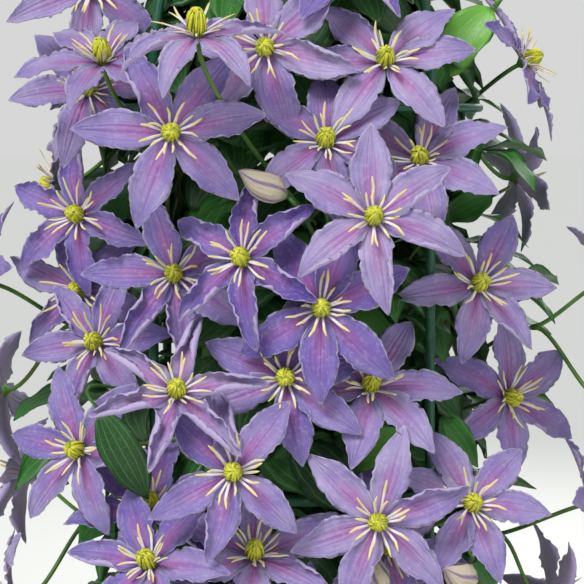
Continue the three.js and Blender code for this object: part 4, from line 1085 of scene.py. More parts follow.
@dataclass
class Bloom:
    """A star of six tepals round a domed tuft and loose filaments, facing its own +Z."""

    seed: int
    length: float
    root: float
    tip: float
    place: Array
    face: Array
    axes: Array
    rolled: float = 0.0
    turns: tuple[float, ...] = (0.0,) * 6
    droops: tuple[float, ...] = (0.0,) * 6
    nearer: float = 0.0
    shade: float | None = None
    root_radius: float = 4.0
    width: float = 0.219
    channel: float = 0.4
    count: int = 6
    rows: int = 26
    columns: int = 11
    thickness: float = 0.55
    tuft_radius: float = 4.3
    tuft_foot: float = 1.2
    tuft_height: float = 9.2
    filaments: int = 16
    filament_length: float = 20.5

    def each_hand(self, column: int) -> Array:
        """A draw for the right half of each tepal and one for its left half, (tepals, 1, columns)."""
        k = np.arange(self.count)[:, None, None]
        right = np.linspace(-1, 1, self.columns) >= 0
        return np.where(right, draw(self.seed, k + column), draw(self.seed, k + column + 7))

    def tepals(self) -> Surface:
        """The six tepals: an arc from root to tip, a channelled section with ruffled edges, a twisted tip."""
        k = np.arange(self.count)
        seed = self.seed
        turn = k * 2 * np.pi / self.count + spread(seed, k, 2 * RAD) + np.array(self.turns) * RAD
        length = self.length * (1 + spread(seed, k + 10, 0.05))
        width = self.length * self.width * (1 + spread(seed, k + 20, 0.04))
        tip = self.tip + spread(seed, k + 30, 8 * RAD) + np.array(self.droops) * RAD
        s = np.linspace(-0.05, 1, self.rows)
        far = np.abs(np.linspace(-1, 1, self.columns))
        out, height, slope = arc(length[:, None], self.root, tip[:, None], s)
        wave = np.sin(2 * np.pi * (3.7 * s + draw(seed, k + 50)[:, None]))
        wave = wave + 0.8 * np.sin(2 * np.pi * (8.3 * s + draw(seed, k + 55)[:, None]))
        notch = 1 + 0.018 * wave * smooth(0.1, 0.4, s)
        half = np.maximum(width[:, None] * blade_half(s) * notch, 0.14)
        along = s[None, :, None]
        ruffle = 0.55 * far**2 * np.sin(2 * np.pi * (2.2 * along + self.each_hand(60)))
        crimp = 0.45 * far**4 * np.sin(2 * np.pi * (8.1 * along + self.each_hand(80)))
        inwards = self.each_hand(100)
        curls = np.maximum(smooth(0.78, 1.0, inwards), self.rolled * (0.7 + 0.5 * inwards))
        curled = smooth(0.35 - 0.2 * self.rolled, 1.0, far)
        roll = 2.6 * curls * curled * smooth(0.1, 0.45, along) * smooth(1.02, 0.8, along)
        section = self.channel * far + (ruffle + crimp) * smooth(0.05, 0.3, along) + roll
        across, lift = cross_section(section, half)
        twist = spread(seed, k + 120, 0.5)[:, None, None] * smooth(0.3, 1.0, along) ** 2
        sway = spread(seed, k + 130, 0.07)[:, None, None] * length[:, None, None] * along**2
        across, lift = rotated(across, lift, twist)
        r = self.root_radius + out[..., None] - np.sin(slope)[..., None] * lift
        z = height[..., None] + np.cos(slope)[..., None] * lift
        x, y = rotated(r, across + sway, turn[:, None, None])
        points = np.stack([x, y, z], axis=-1)
        shade = draw(seed, 200) if self.shade is None else self.shade
        tone = np.clip(shade * 0.8 + draw(seed, k + 210) * 0.2, 0, 1)
        return blades(points, self.thickness, PETAL, tone)

    def tuft(self) -> Surface:
        """A dome of curled anthers on a core: each runs up a quarter of an ellipse, fullest in its middle."""
        start = np.concatenate([np.full(n, low) for n, low, _ in ANTHER_RINGS])[:, None]
        end = np.concatenate([np.full(n, high) for n, _, high in ANTHER_RINGS])[:, None]
        turn = np.concatenate([circle(n) + np.pi * i / n for i, (n, *_) in enumerate(ANTHER_RINGS)])
        k = np.arange(len(turn))
        t = np.linspace(0, 1, 5)
        rise = start + (end - start) * t + spread(self.seed, k + 300, 0.05)[:, None]
        bend = np.clip(rise, 0, 1.1) * np.pi / 2
        wind = 0.35 * t * (0.6 + draw(self.seed, k + 330)[:, None])
        swirl = turn[:, None] + wind + spread(self.seed, k, 0.08)[:, None]
        grow = 1 + spread(self.seed, k + 360, 0.1)[:, None]
        r = self.tuft_radius * grow * np.sign(np.cos(bend)) * np.abs(np.cos(bend)) ** 0.7
        z = self.tuft_foot + self.tuft_height * grow * np.abs(np.sin(bend)) ** 0.85
        paths = np.stack([r * np.cos(swirl), r * np.sin(swirl), z], axis=-1)
        radii = 0.66 * np.array([0.55, 0.95, 1.0, 0.9, 0.4])[None] * np.ones((len(k), 1))
        anthers = rods(paths, radii, 5, TUFT, draw(self.seed, k + 390))
        bend = np.linspace(0, 1, 6) * np.pi / 2 * 0.97
        core_r = self.tuft_radius * 0.93 * np.cos(bend)
        core_z = 0.6 + (self.tuft_height + 0.2) * np.sin(bend)
        core = turned(np.concatenate([[[2.2, -0.6]], np.stack([core_r, core_z], axis=-1)]), 10, TUFT)
        core.tone[:] = 1.0
        return Surface.join([anthers, core])

    def filament_crown(self) -> Surface:
        """Loose filaments round the tuft, the first six along the tepals, each bent a little to its end."""
        seed, n = self.seed, self.filaments
        k = np.arange(n)
        first = k < self.count
        turn = np.where(first, k * np.pi / 3, (k - self.count + 0.5) * 2 * np.pi / (n - self.count))
        turn = turn + np.where(first, 0, spread(seed, k + 420, 0.16))
        nod = np.where(first, spread(seed, 40 + 4 * k, 5 * RAD), spread(seed, k + 440, 16 * RAD))
        lift = (self.root + 24 * RAD + nod)[:, None]
        length = np.where(first, 1 + spread(seed, 41 + 4 * k, 0.16), 0.8 + spread(seed, k + 460, 0.2))
        length = (self.filament_length * length - 2.5)[:, None]
        t = np.linspace(0, 1, 8)
        bend = (0.1 + spread(seed, k + 480, 0.5) * 0.5)[:, None]
        out, height, _ = arc(length, lift + bend, lift - bend, t)
        hook = smooth(0.7, 1.0, t) * spread(seed, k + 500, 1.4)[:, None]
        side = turn[:, None] + spread(seed, k + 520, 0.18)[:, None] * t
        x, y = rotated(2.6 + out, hook, side)
        profile = np.array([0.45, 0.55, 0.6, 0.62, 0.7, 0.72, 0.6, 0.26])
        radii = profile * (0.9 + 0.25 * draw(seed, k + 540))[:, None]
        return rods(np.stack([x, y, 1 + height], axis=-1), radii, 6, FILAMENT, draw(seed, k + 560), 0.5)

    def receptacle(self) -> Surface:
        """The green seat under the tepals, which widens from the stalk to the hub."""
        profile = [[1.15, -3.6], [1.5, -3.0], [2.5, -1.9], [3.8, -0.7], [3.6, 0.1], [2.0, 0.5]]
        return turned(np.array(profile), 12, BLOOM_STALK)

    def seat(self) -> Array:
        """Where the dressed bloom stands: its solid's place, moved along the ray to the eye."""
        return nearer_eye(self.place, self.nearer)

    def surface(self) -> Surface:
        """The whole bloom, in place."""
        made = Surface.join([self.tepals(), self.tuft(), self.filament_crown(), self.receptacle()])
        return made.placed(self.axes, self.seat())


def facing(face: Array, first: Array) -> Array:
    """The rows X, Y and Z of a frame whose Z is the way a bloom faces and whose X is its first tepal's."""
    x = unit(first - face * (first @ face))
    return np.stack([x, np.cross(face, x), face])


class FrontBlooms:
    """The blooms of the front, each on its pixel's ray as far out as its solid was set."""

    def may_cross(self, a: FrontRow, b: FrontRow) -> bool:
        """Whether two blooms are near enough in the view for their tepals to cross."""
        return math.hypot(a.across - b.across, a.down - b.down) * PIXEL < (a.length + b.length) * CROSS_REACH

    def find(self) -> list[Bloom]:
        """The blooms where their solids are: of the depths on a ray, the one whose tuft's top is a corner."""
        _, right, up = VIEW.axes
        found = []
        for i, row in enumerate(FRONT_BLOOMS):
            name = f"bloom_{i + 1:02d}"
            face = VIEW.direction(row.right, row.up)
            spin = row.spin * RAD
            behind = zip(found, FRONT_BLOOMS)
            crossed = [own.place[1] - COVER for own, other in behind if self.may_cross(row, other)]
            depth = min([VIEW.canopy_depth(row.across, row.down), *crossed])
            places = VIEW.ray_points(row.across, row.down, depth)
            step = SolidPoints(name).choose(places + TUFT_TOP * face, name)
            axes = facing(face, right * math.cos(spin) + up * math.sin(spin))
            slopes = (row.root * RAD, row.tip * RAD)
            look = (row.rolled, row.turns, row.droops, row.nearer, row.shade)
            tall = Bloom.tuft_height + TUFT_RISE * row.up
            found.append(Bloom(i + 1, row.length, *slopes, places[step], face, axes, *look, tuft_height=tall))
        return found

    def build(self, blooms: list[Bloom]) -> None:
        """Makes one piece of each bloom."""
        finishes = [f.material() for f in BLOOM_FINISHES]
        for i, bloom in enumerate(blooms):
            node = f"bloom_{i + 1:02d}"
            stand_for(joined_object(node + "_flower", bloom.surface(), finishes), [node])


@dataclass
class Spray:
    """Two blooms on a forked stalk."""

    name: str
    blooms: list[Bloom]
    fork: Array
    face: Array

    def surface(self) -> Surface:
        """The blooms, and a stalk to each: a curve from behind its head to the fork."""
        t = np.linspace(0, 1, 14)
        paths = []
        for i, bloom in enumerate(self.blooms):
            head = bloom.place - bloom.face * HUB_UNDER
            foot = self.fork - self.face * 0.8 * i
            paths.append(bezier(np.array([foot, foot + self.face * 12, head - bloom.face * 16, head]), t))
        radii = STALK_RADIUS * (1 + 0.35 * np.exp(-((t / 0.08) ** 2)))[None] * np.ones((2, 1))
        stalks = rods(np.array(paths), radii, 8, BLOOM_STALK, np.array([0.3, 0.6]))
        return Surface.join([*(b.surface() for b in self.blooms), stalks])


@dataclass
class Sprays:
    """The two-bloom sprays of the sides, the back and the top."""

    across: float = 27.0
    above: float = 31.0
    step: float = 12.0
    length: float = 41.0
    push: float = 3.0
    splay: float = 0.28
    nod: float = 0.2
    fork_behind: float = 34.0
    fork_below: float = 14.0

    def form(self, seed: int, turn: float, z: float, row: SideRow, hand: int, push: int) -> Spray:
        """A spray at a turn and a height, pushed outwards by a number of steps.

        Args:
            seed: its first bloom's number.
            turn: turn round the plant, 0 at the front, in radians.
            z: height.
            row: the level that it belongs to.
            hand: which of its blooms is the lower one.
            push: steps outwards.

        Returns:
            The spray.
        """
        out = np.array([math.sin(turn), -math.cos(turn), 0.0])
        side = np.array([math.cos(turn), math.sin(turn), 0.0])
        face = out * math.cos(row.lift * RAD) + UP * math.sin(row.lift * RAD)
        up = -np.cross(face, side)
        middle = UP * z + out * row.radius + face * push * self.push
        blooms = []
        for i, way in enumerate((-1, 1)):
            own = seed + i
            place = middle + side * way * hand * self.across - up * way * self.above + face * i * self.step
            nod = -way * self.nod + spread(own, 71, 0.15)
            turned_face = unit(face + side * way * hand * self.splay + up * nod)
            spin = draw(own, 75) * 2 * np.pi
            axes = facing(turned_face, side * np.cos(spin) + up * np.sin(spin))
            length = self.length * (1 + spread(own, 72, 0.08))
            root, tip = (13 + spread(own, 73, 6)) * RAD, (-22 + spread(own, 74, 8)) * RAD
            blooms.append(Bloom(own, length, root, tip, place, turned_face, axes))
        fork = middle - face * self.fork_behind - up * self.fork_below
        return Spray(f"spray_{(seed - FIRST_SPRAY_SEED) // 2 + 1:02d}", blooms, fork, face)

    def find(self) -> list[Spray]:
        """The sprays where their solids are, by the top of the first bloom's tuft."""
        found: list[Spray] = []
        for r, row in enumerate(SIDE_ROWS):
            for i in range(row.count):
                seed = FIRST_SPRAY_SEED + 2 * len(found)
                turn = (row.start + i * row.step + spread(seed, 76, 5)) * RAD
                z = row.z + spread(seed, 77, 10)
                hand = 1 if (i + r) % 2 else -1
                forms = [self.form(seed, turn, z, row, hand, n) for n in range(MOST_PUSHES)]
                tops = np.array([f.blooms[0].place + TUFT_TOP * f.blooms[0].face for f in forms])
                found.append(forms[SolidPoints(forms[0].name).choose(tops, forms[0].name)])
        return found

    def build(self, sprays: list[Spray]) -> None:
        """Makes one piece of each spray."""
        finishes = [f.material() for f in BLOOM_FINISHES]
        for spray in sprays:
            piece = joined_object(spray.name + "_flowers", spray.surface(), finishes)
            stand_for(piece, [spray.name])


# Buds


@dataclass
class Bud:
    """A half-open bud: folded tepals that lap over each other, in a spindle with a bent tip."""

    name: str
    place: Array
    face: Array
    axes: Array
    length: float
    radius: float
    nearer: float = 0.0
    shift: tuple[float, float] = (0.0, 0.0)
    folds: int = 5
    swell: float = 1.22

    def surface(self) -> Surface:
        """A spindle whose radius steps down at each fold's edge, its seams winding a little and toned 1."""
        rows, cols = 34, 48
        s = np.linspace(0, 1, rows)[:, None]
        turn = circle(cols)[None]
        shape = np.interp(s, *zip(*BUD_PROFILE))
        wind = turn + 0.7 * s
        lap = (wind * self.folds / (2 * np.pi)) % 1
        edge = 1 + (0.12 * lap - 0.05) * smooth(0.03, 0.3, s) - 0.05 * np.cos(wind * self.folds * 3)
        r = self.radius * self.swell * shape * edge
        x = r * np.cos(turn) + 1.6 * smooth(0.6, 1.0, s)
        z = self.length * s * np.ones_like(turn)
        made = tubes(np.stack([x, r * np.sin(turn), z], axis=-1)[None], 0, np.array([0.0]))
        quads = (rows - 1) * cols
        near = np.minimum(lap, 1 - lap)[:-1].ravel()
        made.tone[:quads] = smooth(0.2, 0.03, near)
        return made.placed(self.axes, self.seat())

    def seat(self) -> Array:
        """Where the dressed bud stands: its solid's place, moved along the ray to the eye and in the view."""
        return nearer_eye(self.place, self.nearer) + np.array([self.shift[0], 0.0, self.shift[1]])


class Buds:
    """The three buds of the front."""

    def find(self) -> list[Bud]:
        """The buds where their solids are, by their tips."""
        found = []
        for i, row in enumerate(BUDS):
            name = f"bud_{i + 1}"
            face = VIEW.direction(row.right, row.up)
            places = VIEW.ray_points(row.across, row.down, BUD_DEPTH)
            step = SolidPoints(name).choose(places + row.length * face, name)
            axes = facing(face, VIEW.axes[2])
            found.append(Bud(name, places[step], face, axes, row.length, row.radius, row.nearer, row.shift))
        return found

    def build(self, buds: list[Bud]) -> None:
        """Makes one piece of each bud, with a short green neck."""
        finishes = [Finish.BUD.material(), Finish.STALK.material()]
        for bud in buds:
            neck = np.array([[1.0, -1.4], [1.35, -0.6], [2.0, 0.4], [1.6, 1.2]])
            seat = turned(neck, 10, 1).placed(bud.axes, bud.seat())
            piece = joined_object(bud.name + "_closed", Surface.join([bud.surface(), seat]), finishes)
            stand_for(piece, [bud.name])


# Vines, stalks and leaves


class Face(NamedTuple):
    """A side of a vine's node that a stalk may grow out of."""

    vine: int
    corners: Array
    middle: Array
    out: Array


@dataclass(frozen=True)
class VineForm:
    """The five vines: straight in the soil, then winding up inside the support."""

    count: int = 5
    foot_z: float = 168.0
    bend_z: float = 225.0
    top_z: float = 655.0
    node_first_z: float = 238.0
    node_spacing: float = 34.0
    nodes: int = 13
    node_half: float = 1.6
    twist: float = 110 * RAD
    foot_radius: float = 3.0
    tip_radius: float = 1.5
    foot_circle: float = 34.0
    bulge: float = 50.0
    wander: float = 4.0

    def point(self, vine: Any, z: Any) -> Array:
        """A vine's place at a height: its radius swells as a sine, and its turn winds evenly and sways."""
        z = np.asarray(z, dtype=float)
        share = np.maximum(0.0, (z - self.bend_z) / (self.top_z - self.bend_z))
        swell = self.bulge * np.maximum(0.0, np.sin(np.pi * np.minimum(1.0, share * 1.12))) ** 0.8
        r = self.foot_circle + swell + self.wander * np.sin(share * 19)
        turn = vine * 2 * np.pi / self.count + self.twist * share + 0.12 * np.sin(share * 14)
        return np.stack([r * np.cos(turn), r * np.sin(turn), z], axis=-1)

    def radius(self, z: Any) -> Array:
        """A vine's radius at a height, which tapers evenly above the soil."""
        share = np.maximum(0.0, (np.asarray(z, dtype=float) - self.bend_z) / (self.top_z - self.bend_z))
        return self.foot_radius + (self.tip_radius - self.foot_radius) * share

    def node_z(self, node: Any) -> Any:
        """Height of a node."""
        return self.node_first_z + node * self.node_spacing

    def faces(self, vine: int) -> list[list[Face]]:
        """The four sides of each node of a vine, from the rings of the path through its nodes."""
        heights = [self.foot_z, self.bend_z]
        for j in range(self.nodes):
            heights += [self.node_z(j) - self.node_half, self.node_z(j) + self.node_half]
        z = np.array([*heights, self.top_z])
        rings = rings_along(self.point(vine, z), self.radius(z), 4)
        found = []
        for j in range(self.nodes):
            low, high = rings[2 + 2 * j], rings[3 + 2 * j]
            sides = []
            for k in range(4):
                corners = np.array([low[k], low[(k + 1) % 4], high[(k + 1) % 4], high[k]])
                out = unit(np.cross(corners[1] - corners[0], corners[3] - corners[0]))
                sides.append(Face(vine, corners, corners.mean(axis=0), out))
            found.append(sides)
        return found


VINES = VineForm()
STALK_WAYS = [
    (back, vine, sway, down, side)
    for back in (30, 14)
    for vine in range(VINES.count)
    for sway in (0, -14, 14, -30, 30)
    for down in (38, 62, 88, 18, 112, 0, 140)
    for side in (0, 1)
]


@dataclass
class StalkFinder:
    """Finds how each stalk runs: of the ways it may take, the one whose rings are corners of its vine."""

    faces: list[list[list[Face]]] = field(init=False)
    solids: list[SolidPoints] = field(init=False)

    def __post_init__(self) -> None:
        """Lays out the nodes of each vine and reads its solid."""
        self.faces = [VINES.faces(v) for v in range(VINES.count)]
        self.solids = [SolidPoints(f"vine_{v + 1}") for v in range(VINES.count)]

    def controls(self, end: Array, face: Array, way: tuple[int, ...]) -> tuple[Face, Array]:
        """The side of a node that a stalk leaves, and its four control points.

        Args:
            end: where the stalk ends.
            face: which way the stalk's end looks.
            way: how far back its end leads, vine by nearness, sway, how far down it joins, side by nearness.

        Returns:
            The side and the control points.
        """
        back, rank, sway, down, side = way
        node = math.floor((end[2] - down - VINES.node_first_z) / VINES.node_spacing + 0.5)
        node = min(VINES.nodes - 1, max(0, node))
        z = VINES.node_z(node)
        middles = np.array([VINES.point(v, z) for v in range(VINES.count)])
        vine = int(np.argsort(np.linalg.norm(middles - end, axis=1), kind="stable")[rank])
        towards = unit(end - middles[vine])
        sides = sorted(self.faces[vine][node], key=lambda f: -float(f.out @ towards))
        root = sides[side]
        across = unit(np.array([-root.middle[1], root.middle[0], 0.0]))
        lead = root.middle + root.out * 14 + UP * 9 + across * sway
        return root, np.array([root.middle, lead, end - face * back + across * sway, end])

    def find(self, end: Array, face: Array, radius: float) -> tuple[Face, Array]:
        """The way a stalk takes to an end, tested by the corners of its second ring.

        Args:
            end: where the stalk ends.
            face: which way the stalk's end looks.
            radius: the stalk's radius.

        Returns:
            The side that it leaves and its control points.
        """
        t = np.linspace(0, 1, 4)
        for way in STALK_WAYS:
            root, controls = self.controls(end, face, way)
            path = bezier(controls, t)
            rings = rings_along(path, np.full(4, radius), 4, root.corners[0] - root.middle)
            if self.solids[root.vine].gaps(rings[2]).max() < MATCH:
                return root, controls
        raise ValueError("a stalk doesn't lie where its vine's solid has one")


@dataclass
class Stalk:
    """A stalk out of a vine: the vine that it belongs to, its curve and its radius."""

    vine: int
    controls: Array
    radius: float
    out: Array


@dataclass
class Leaflet:
    """A single blade: where it starts, the way it runs, its up side, its size and its slopes."""

    vine: int
    place: Array
    way: Array
    up: Array
    length: float
    width: float
    root: float
    tip: float
    tone: float
    seed: int

    def end(self) -> Array:
        """The tip's place on the arc."""
        side = unit(np.cross(self.up, self.way))
        out, height, _ = arc(self.length, self.root, self.tip, 1.0)
        return self.place + self.way * out + np.cross(self.way, side) * height


@dataclass
class LeafBlades:
    """Leaflets as thin blades, all computed at once."""

    rows: int = 15
    columns: int = 9
    thickness: float = 0.45
    fold: float = 0.4

    @staticmethod
    def values(leaves: list[Leaflet], key: str) -> Array:
        """One field of every leaflet, as numbers."""
        return np.array([getattr(leaf, key) for leaf in leaves], dtype=float)

    def surface(self, leaves: list[Leaflet]) -> Surface:
        """Each blade is an arc with a folded section whose edges wave, and a drawn-out tip."""
        keys = ("place", "way", "up", "length", "width", "root", "tip", "tone", "seed")
        place, way, up, length, width, root, tip, tone, seed = (self.values(leaves, key) for key in keys)
        side = unit(np.cross(up, way))
        up = np.cross(way, side)
        s = np.linspace(0, 1, self.rows)
        a = np.linspace(-1, 1, self.columns)
        out, height, slope = arc(length[:, None], root[:, None], tip[:, None], s)
        half = np.maximum(width[:, None] * blade_half(s * 0.96) * smooth(1.06, 0.7, s) ** 0.4, 0.25)
        half = np.where(s < 0.01, 0.8, half)
        far = np.abs(a)
        along = s[None, :, None]
        phase = np.where(a >= 0, draw(seed, 1)[:, None], draw(seed, 2)[:, None])[:, None]
        wave = 0.5 * far**2 * np.sin(2 * np.pi * (1.9 * along + phase)) * smooth(0.05, 0.3, along)
        cup = self.fold * (0.6 + 0.9 * draw(seed, 3))[:, None, None] * far
        curled = 1.5 * smooth(0.8, 1.0, draw(seed, 4))[:, None, None]
        roll = curled * smooth(0.4, 1.0, far) * smooth(0.1, 0.5, along)
        across, lift = cross_section(cup + wave + roll, half)
        across, lift = rotated(across, lift, spread(seed, 5, 0.35)[:, None, None] * along)
        across = across + spread(seed, 6, 0.08)[:, None, None] * length[:, None, None] * along**2
        ahead = out[..., None] - np.sin(slope)[..., None] * lift
        above = height[..., None] + np.cos(slope)[..., None] * lift
        moves = ((way, ahead), (up, above), (side, across))
        points = place[:, None, None] + sum(axis[:, None, None] * by[..., None] for axis, by in moves)
        return blades(points, self.thickness, LEAF, tone)


@dataclass
class Foliage:
    """The vines with their leaves, leaf stalks and flower stalks."""

    finder: StalkFinder = field(default_factory=StalkFinder)
    stalks: list[Stalk] = field(default_factory=list)
    leaves: list[Leaflet] = field(default_factory=list)
    inner: list[Leaflet] = field(default_factory=list)
    leaf_seed: int = 1000
    front_seed: int = 5000
    inner_seed: int = 9000
    front_pushes: int = 30
    front_root: float = 12 * RAD
    front_tip: float = -26 * RAD
    variants: int = 6
    reach: float = 26.0
    reach_range: float = 18.0
    leaflet_length: float = 46.0
    leaflet_range: float = 14.0
    leaflet_width: float = 0.27
    side_leaflet: float = 0.84
    inner_radius: float = 106.0
    inner_behind: float = 8.0
    inner_low: float = 222.0
    inner_high: float = 668.0
    inner_arms: int = 7

    def stalk_to(self, end: Array, face: Array, radius: float, head: Array) -> None:
        """Adds the stalk that ends behind a bloom, bud or fork, drawn on to its dressed head."""
        root, controls = self.finder.find(end, face, radius)
        controls = controls.copy()
        controls[2:] += head - end
        self.stalks.append(Stalk(root.vine, controls, radius, root.out))

    def add_front_leaves(self) -> None:
        """Finds each large front leaf where its solid is, by its tip, and the stalk that carries it."""
        every = SolidPoints(*[f"vine_{v + 1}" for v in range(VINES.count)])
        for i, row in enumerate(FRONT_LEAVES):
            depth = VIEW.canopy_depth(row.root_across, row.root_down) + row.behind
            forms = [self.front_leaf(row, depth - n * PUSH, i) for n in range(self.front_pushes)]
            leaf = forms[every.choose(np.array([f.end() for f in forms]), f"front leaf {i + 1}")]
            leaf.tip = -row.hang * RAD
            end = leaf.place - leaf.way * 1.5
            root, controls = self.finder.find(end, leaf.way, PETIOLE_RADIUS)
            leaf.vine = root.vine
            self.leaves.append(leaf)
            self.stalks.append(Stalk(root.vine, controls, PETIOLE_RADIUS, root.out))

    def front_leaf(self, row: LeafRow, depth: float, index: int) -> Leaflet:
        """A large front leaf between the rays of two pixels at a depth."""
        root = VIEW.ray_point(row.root_across, row.root_down, depth)
        tip = VIEW.ray_point(row.tip_across, row.tip_down, depth - row.forward)
        way = tip - root
        length = float(np.linalg.norm(way)) * 1.04
        up = -VIEW.axes[0] + UP * 0.35
        size = (length, length * row.width / 2, self.front_root, self.front_tip)
        return Leaflet(0, root, unit(way), up, *size, row.tone, self.front_seed + index)

    def leaf_form(self, vine: int, node: int, hand: int, variant: int) -> tuple[Array, list[Leaflet]]:
        """One way that a three-part leaf may stand at a node.

        Args:
            vine: the vine.
            node: the node.
            hand: -1 or 1, the side of the node.
            variant: which of its possible ways.

        Returns:
            Where its stalk ends, and its three leaflets.
        """
        seed = self.leaf_seed + (vine * VINES.nodes + node) * 2 + (1 if hand > 0 else 0)
        root = VINES.point(vine, VINES.node_z(node))
        out = unit(root * [1, 1, 0])
        turn = hand * (24 + draw(seed, 1) * 50 + variant * 17) * RAD
        rise = (26 - variant * 11 + spread(seed, 2, 14)) * RAD
        flat = out * np.cos(turn) + np.cross(UP, out) * np.sin(turn)
        way = flat * np.cos(rise) + UP * np.sin(rise)
        end = root + way * (self.reach + draw(seed, 3) * self.reach_range - variant * 2) - UP * 3
        leaves = []
        for i, place in enumerate((0, 1, -1)):
            swing = place * (75 + spread(seed, 4 + i, 5)) * RAD
            tilt = (6 + spread(seed, 8 + i, 14)) * RAD
            forward = flat * np.cos(swing) + np.cross(UP, flat) * np.sin(swing)
            part = self.side_leaflet if place else 1.0
            length = (self.leaflet_length + draw(seed, 12 + i) * self.leaflet_range) * part
            way_on = forward * np.cos(tilt) + UP * np.sin(tilt)
            tip = (-44 + spread(seed, 16 + i, 16)) * RAD
            tone = 0.15 + 0.55 * float(draw(seed, 20 + i))
            size = (length, length * self.leaflet_width, 4 * RAD, tip, tone, seed * 3 + i)
            leaves.append(Leaflet(vine, end + forward * 1.5, way_on, UP, *size))
        return end, leaves

    def add_leaves(self) -> None:
        """Finds each three-part leaf of the solids, by the tips of its leaflets."""
        for vine in range(VINES.count):
            solid = self.finder.solids[vine]
            for node in range(VINES.nodes):
                for hand in (-1, 1):
                    for variant in range(self.variants):
                        end, leaves = self.leaf_form(vine, node, hand, variant)
                        there = solid.gaps(np.array([leaf.end() for leaf in leaves])) < MATCH
                        if there.sum() < 2:
                            continue
                        self.leaves += [leaf for leaf, shown in zip(leaves, there) if shown]
                        self.petiole(vine, node, end)
                        break

    def petiole(self, vine: int, node: int, end: Array) -> None:
        """Adds a leaf stalk from the middle of a node to a place."""
        root = VINES.point(vine, VINES.node_z(node))
        way = end - root
        controls = np.array([root, root + way * 0.35 + UP * 1.5, root + way * 0.7 + UP * 1.5, end])
        self.stalks.append(Stalk(vine, controls, PETIOLE_RADIUS, unit(way)))

    def add_inner_leaves(self) -> None:
        """Fills the inside with shaded three-part leaves on stalks of their own, kept inside a radius."""
        for vine in range(VINES.count):
            for node in range(VINES.nodes):
                for arm in range(self.inner_arms):
                    self.inner_leaf(vine, node, arm)

    def inner_leaf(self, vine: int, node: int, arm: int) -> None:
        """Adds one inner leaf whose leaflets all end inside the radius, or none."""
        seed = self.inner_seed + (vine * VINES.nodes + node) * self.inner_arms + arm
        root = VINES.point(vine, VINES.node_z(node))
        out = unit(root * [1, 1, 0])
        turn = (arm + 0.5 + spread(seed, 1, 0.35)) * 2 * np.pi / self.inner_arms
        flat = out * np.cos(turn) + np.cross(UP, out) * np.sin(turn)
        reach = 14 + 18 * draw(seed, 2) + 16 * max(0.0, -flat[1])
        end = root + flat * reach + UP * spread(seed, 3, 14)
        outward = unit(end * [1, 1, 0] + flat * 8)
        leaves = []
        for i, swing in enumerate((0.0, 1.2, -1.2)):
            forward = outward * np.cos(swing) + np.cross(UP, outward) * np.sin(swing)
            way = unit(forward * 0.75 - UP * (0.35 + 0.5 * draw(seed, 5 + i)) + outward * 0.2)
            length = 36 + 16 * draw(seed, 10 + i)
            face = unit(outward + UP * 0.5)
            tone = 0.05 + 0.5 * float(draw(seed, 15 + i))
            size = (length, length * 0.31, 0.15, -0.55, tone, seed * 3 + i)
            leaf = Leaflet(vine, end + forward * 1.5, way, face, *size)
            if self.hides(leaf.end()):
                leaves.append(leaf)
        if leaves:
            self.inner += leaves
            self.petiole(vine, node, end)

    def hides(self, tip: Array) -> bool:
        """Whether an inner leaf's tip is inside the radius and the heights, and behind the front blooms."""
        front = math.sqrt(max(CANOPY_RADIUS**2 - tip[0] ** 2, CANOPY_LEAST_DEPTH**2)) - self.inner_behind
        level = self.inner_low < tip[2] < self.inner_high
        return level and math.hypot(tip[0], tip[1]) < self.inner_radius and -tip[1] < front

    def stems(self, vine: int) -> Surface:
        """The vine's own stem: its path with a swelling at each node."""
        z = np.linspace(VINES.foot_z, VINES.top_z, 190)
        half = VINES.node_spacing / 2
        near = np.abs((z - VINES.node_first_z + half) % VINES.node_spacing - half)
        swell = 1 + 0.38 * np.exp(-((near / 2.6) ** 2)) * (z > VINES.bend_z)
        radii = VINES.radius(z) * swell * (1 + 0.05 * np.sin(z * 1.3))
        return rods(VINES.point(vine, z)[None], radii[None], 10, BARK, np.array([vine / VINES.count]))

    def stalk_surface(self, vine: int) -> Surface:
        """The stalks of a vine: curves that start inside it, a little thicker at both ends."""
        own = [s for s in self.stalks if s.vine == vine]
        t = np.linspace(0, 1, 14)
        paths = bezier(np.array([s.controls for s in own]), t)
        first = np.array([s.controls[0] - s.out * 2.0 for s in own])
        paths = np.concatenate([first[:, None], paths], axis=1)
        profile = 1 + 0.35 * np.exp(-((np.concatenate([[0], t]) / 0.07) ** 2))
        radii = np.array([s.radius for s in own])[:, None] * profile
        return rods(paths, radii, 7, VINE_STALK, draw(np.arange(len(own)), 31))

    def build(self) -> None:
        """Makes one piece of each vine with all that grows out of it."""
        finishes = [f.material() for f in VINE_FINISHES]
        for vine in range(VINES.count):
            fine = LeafBlades().surface([leaf for leaf in self.leaves if leaf.vine == vine])
            plain = LeafBlades(rows=8, columns=5).surface([leaf for leaf in self.inner if leaf.vine == vine])
            surface = Surface.join([self.stems(vine), self.stalk_surface(vine), fine, plain])
            piece = joined_object(f"vine_{vine + 1}_growth", surface, finishes)
            stand_for(piece, [f"vine_{vine + 1}"])


# Support, pot and soil


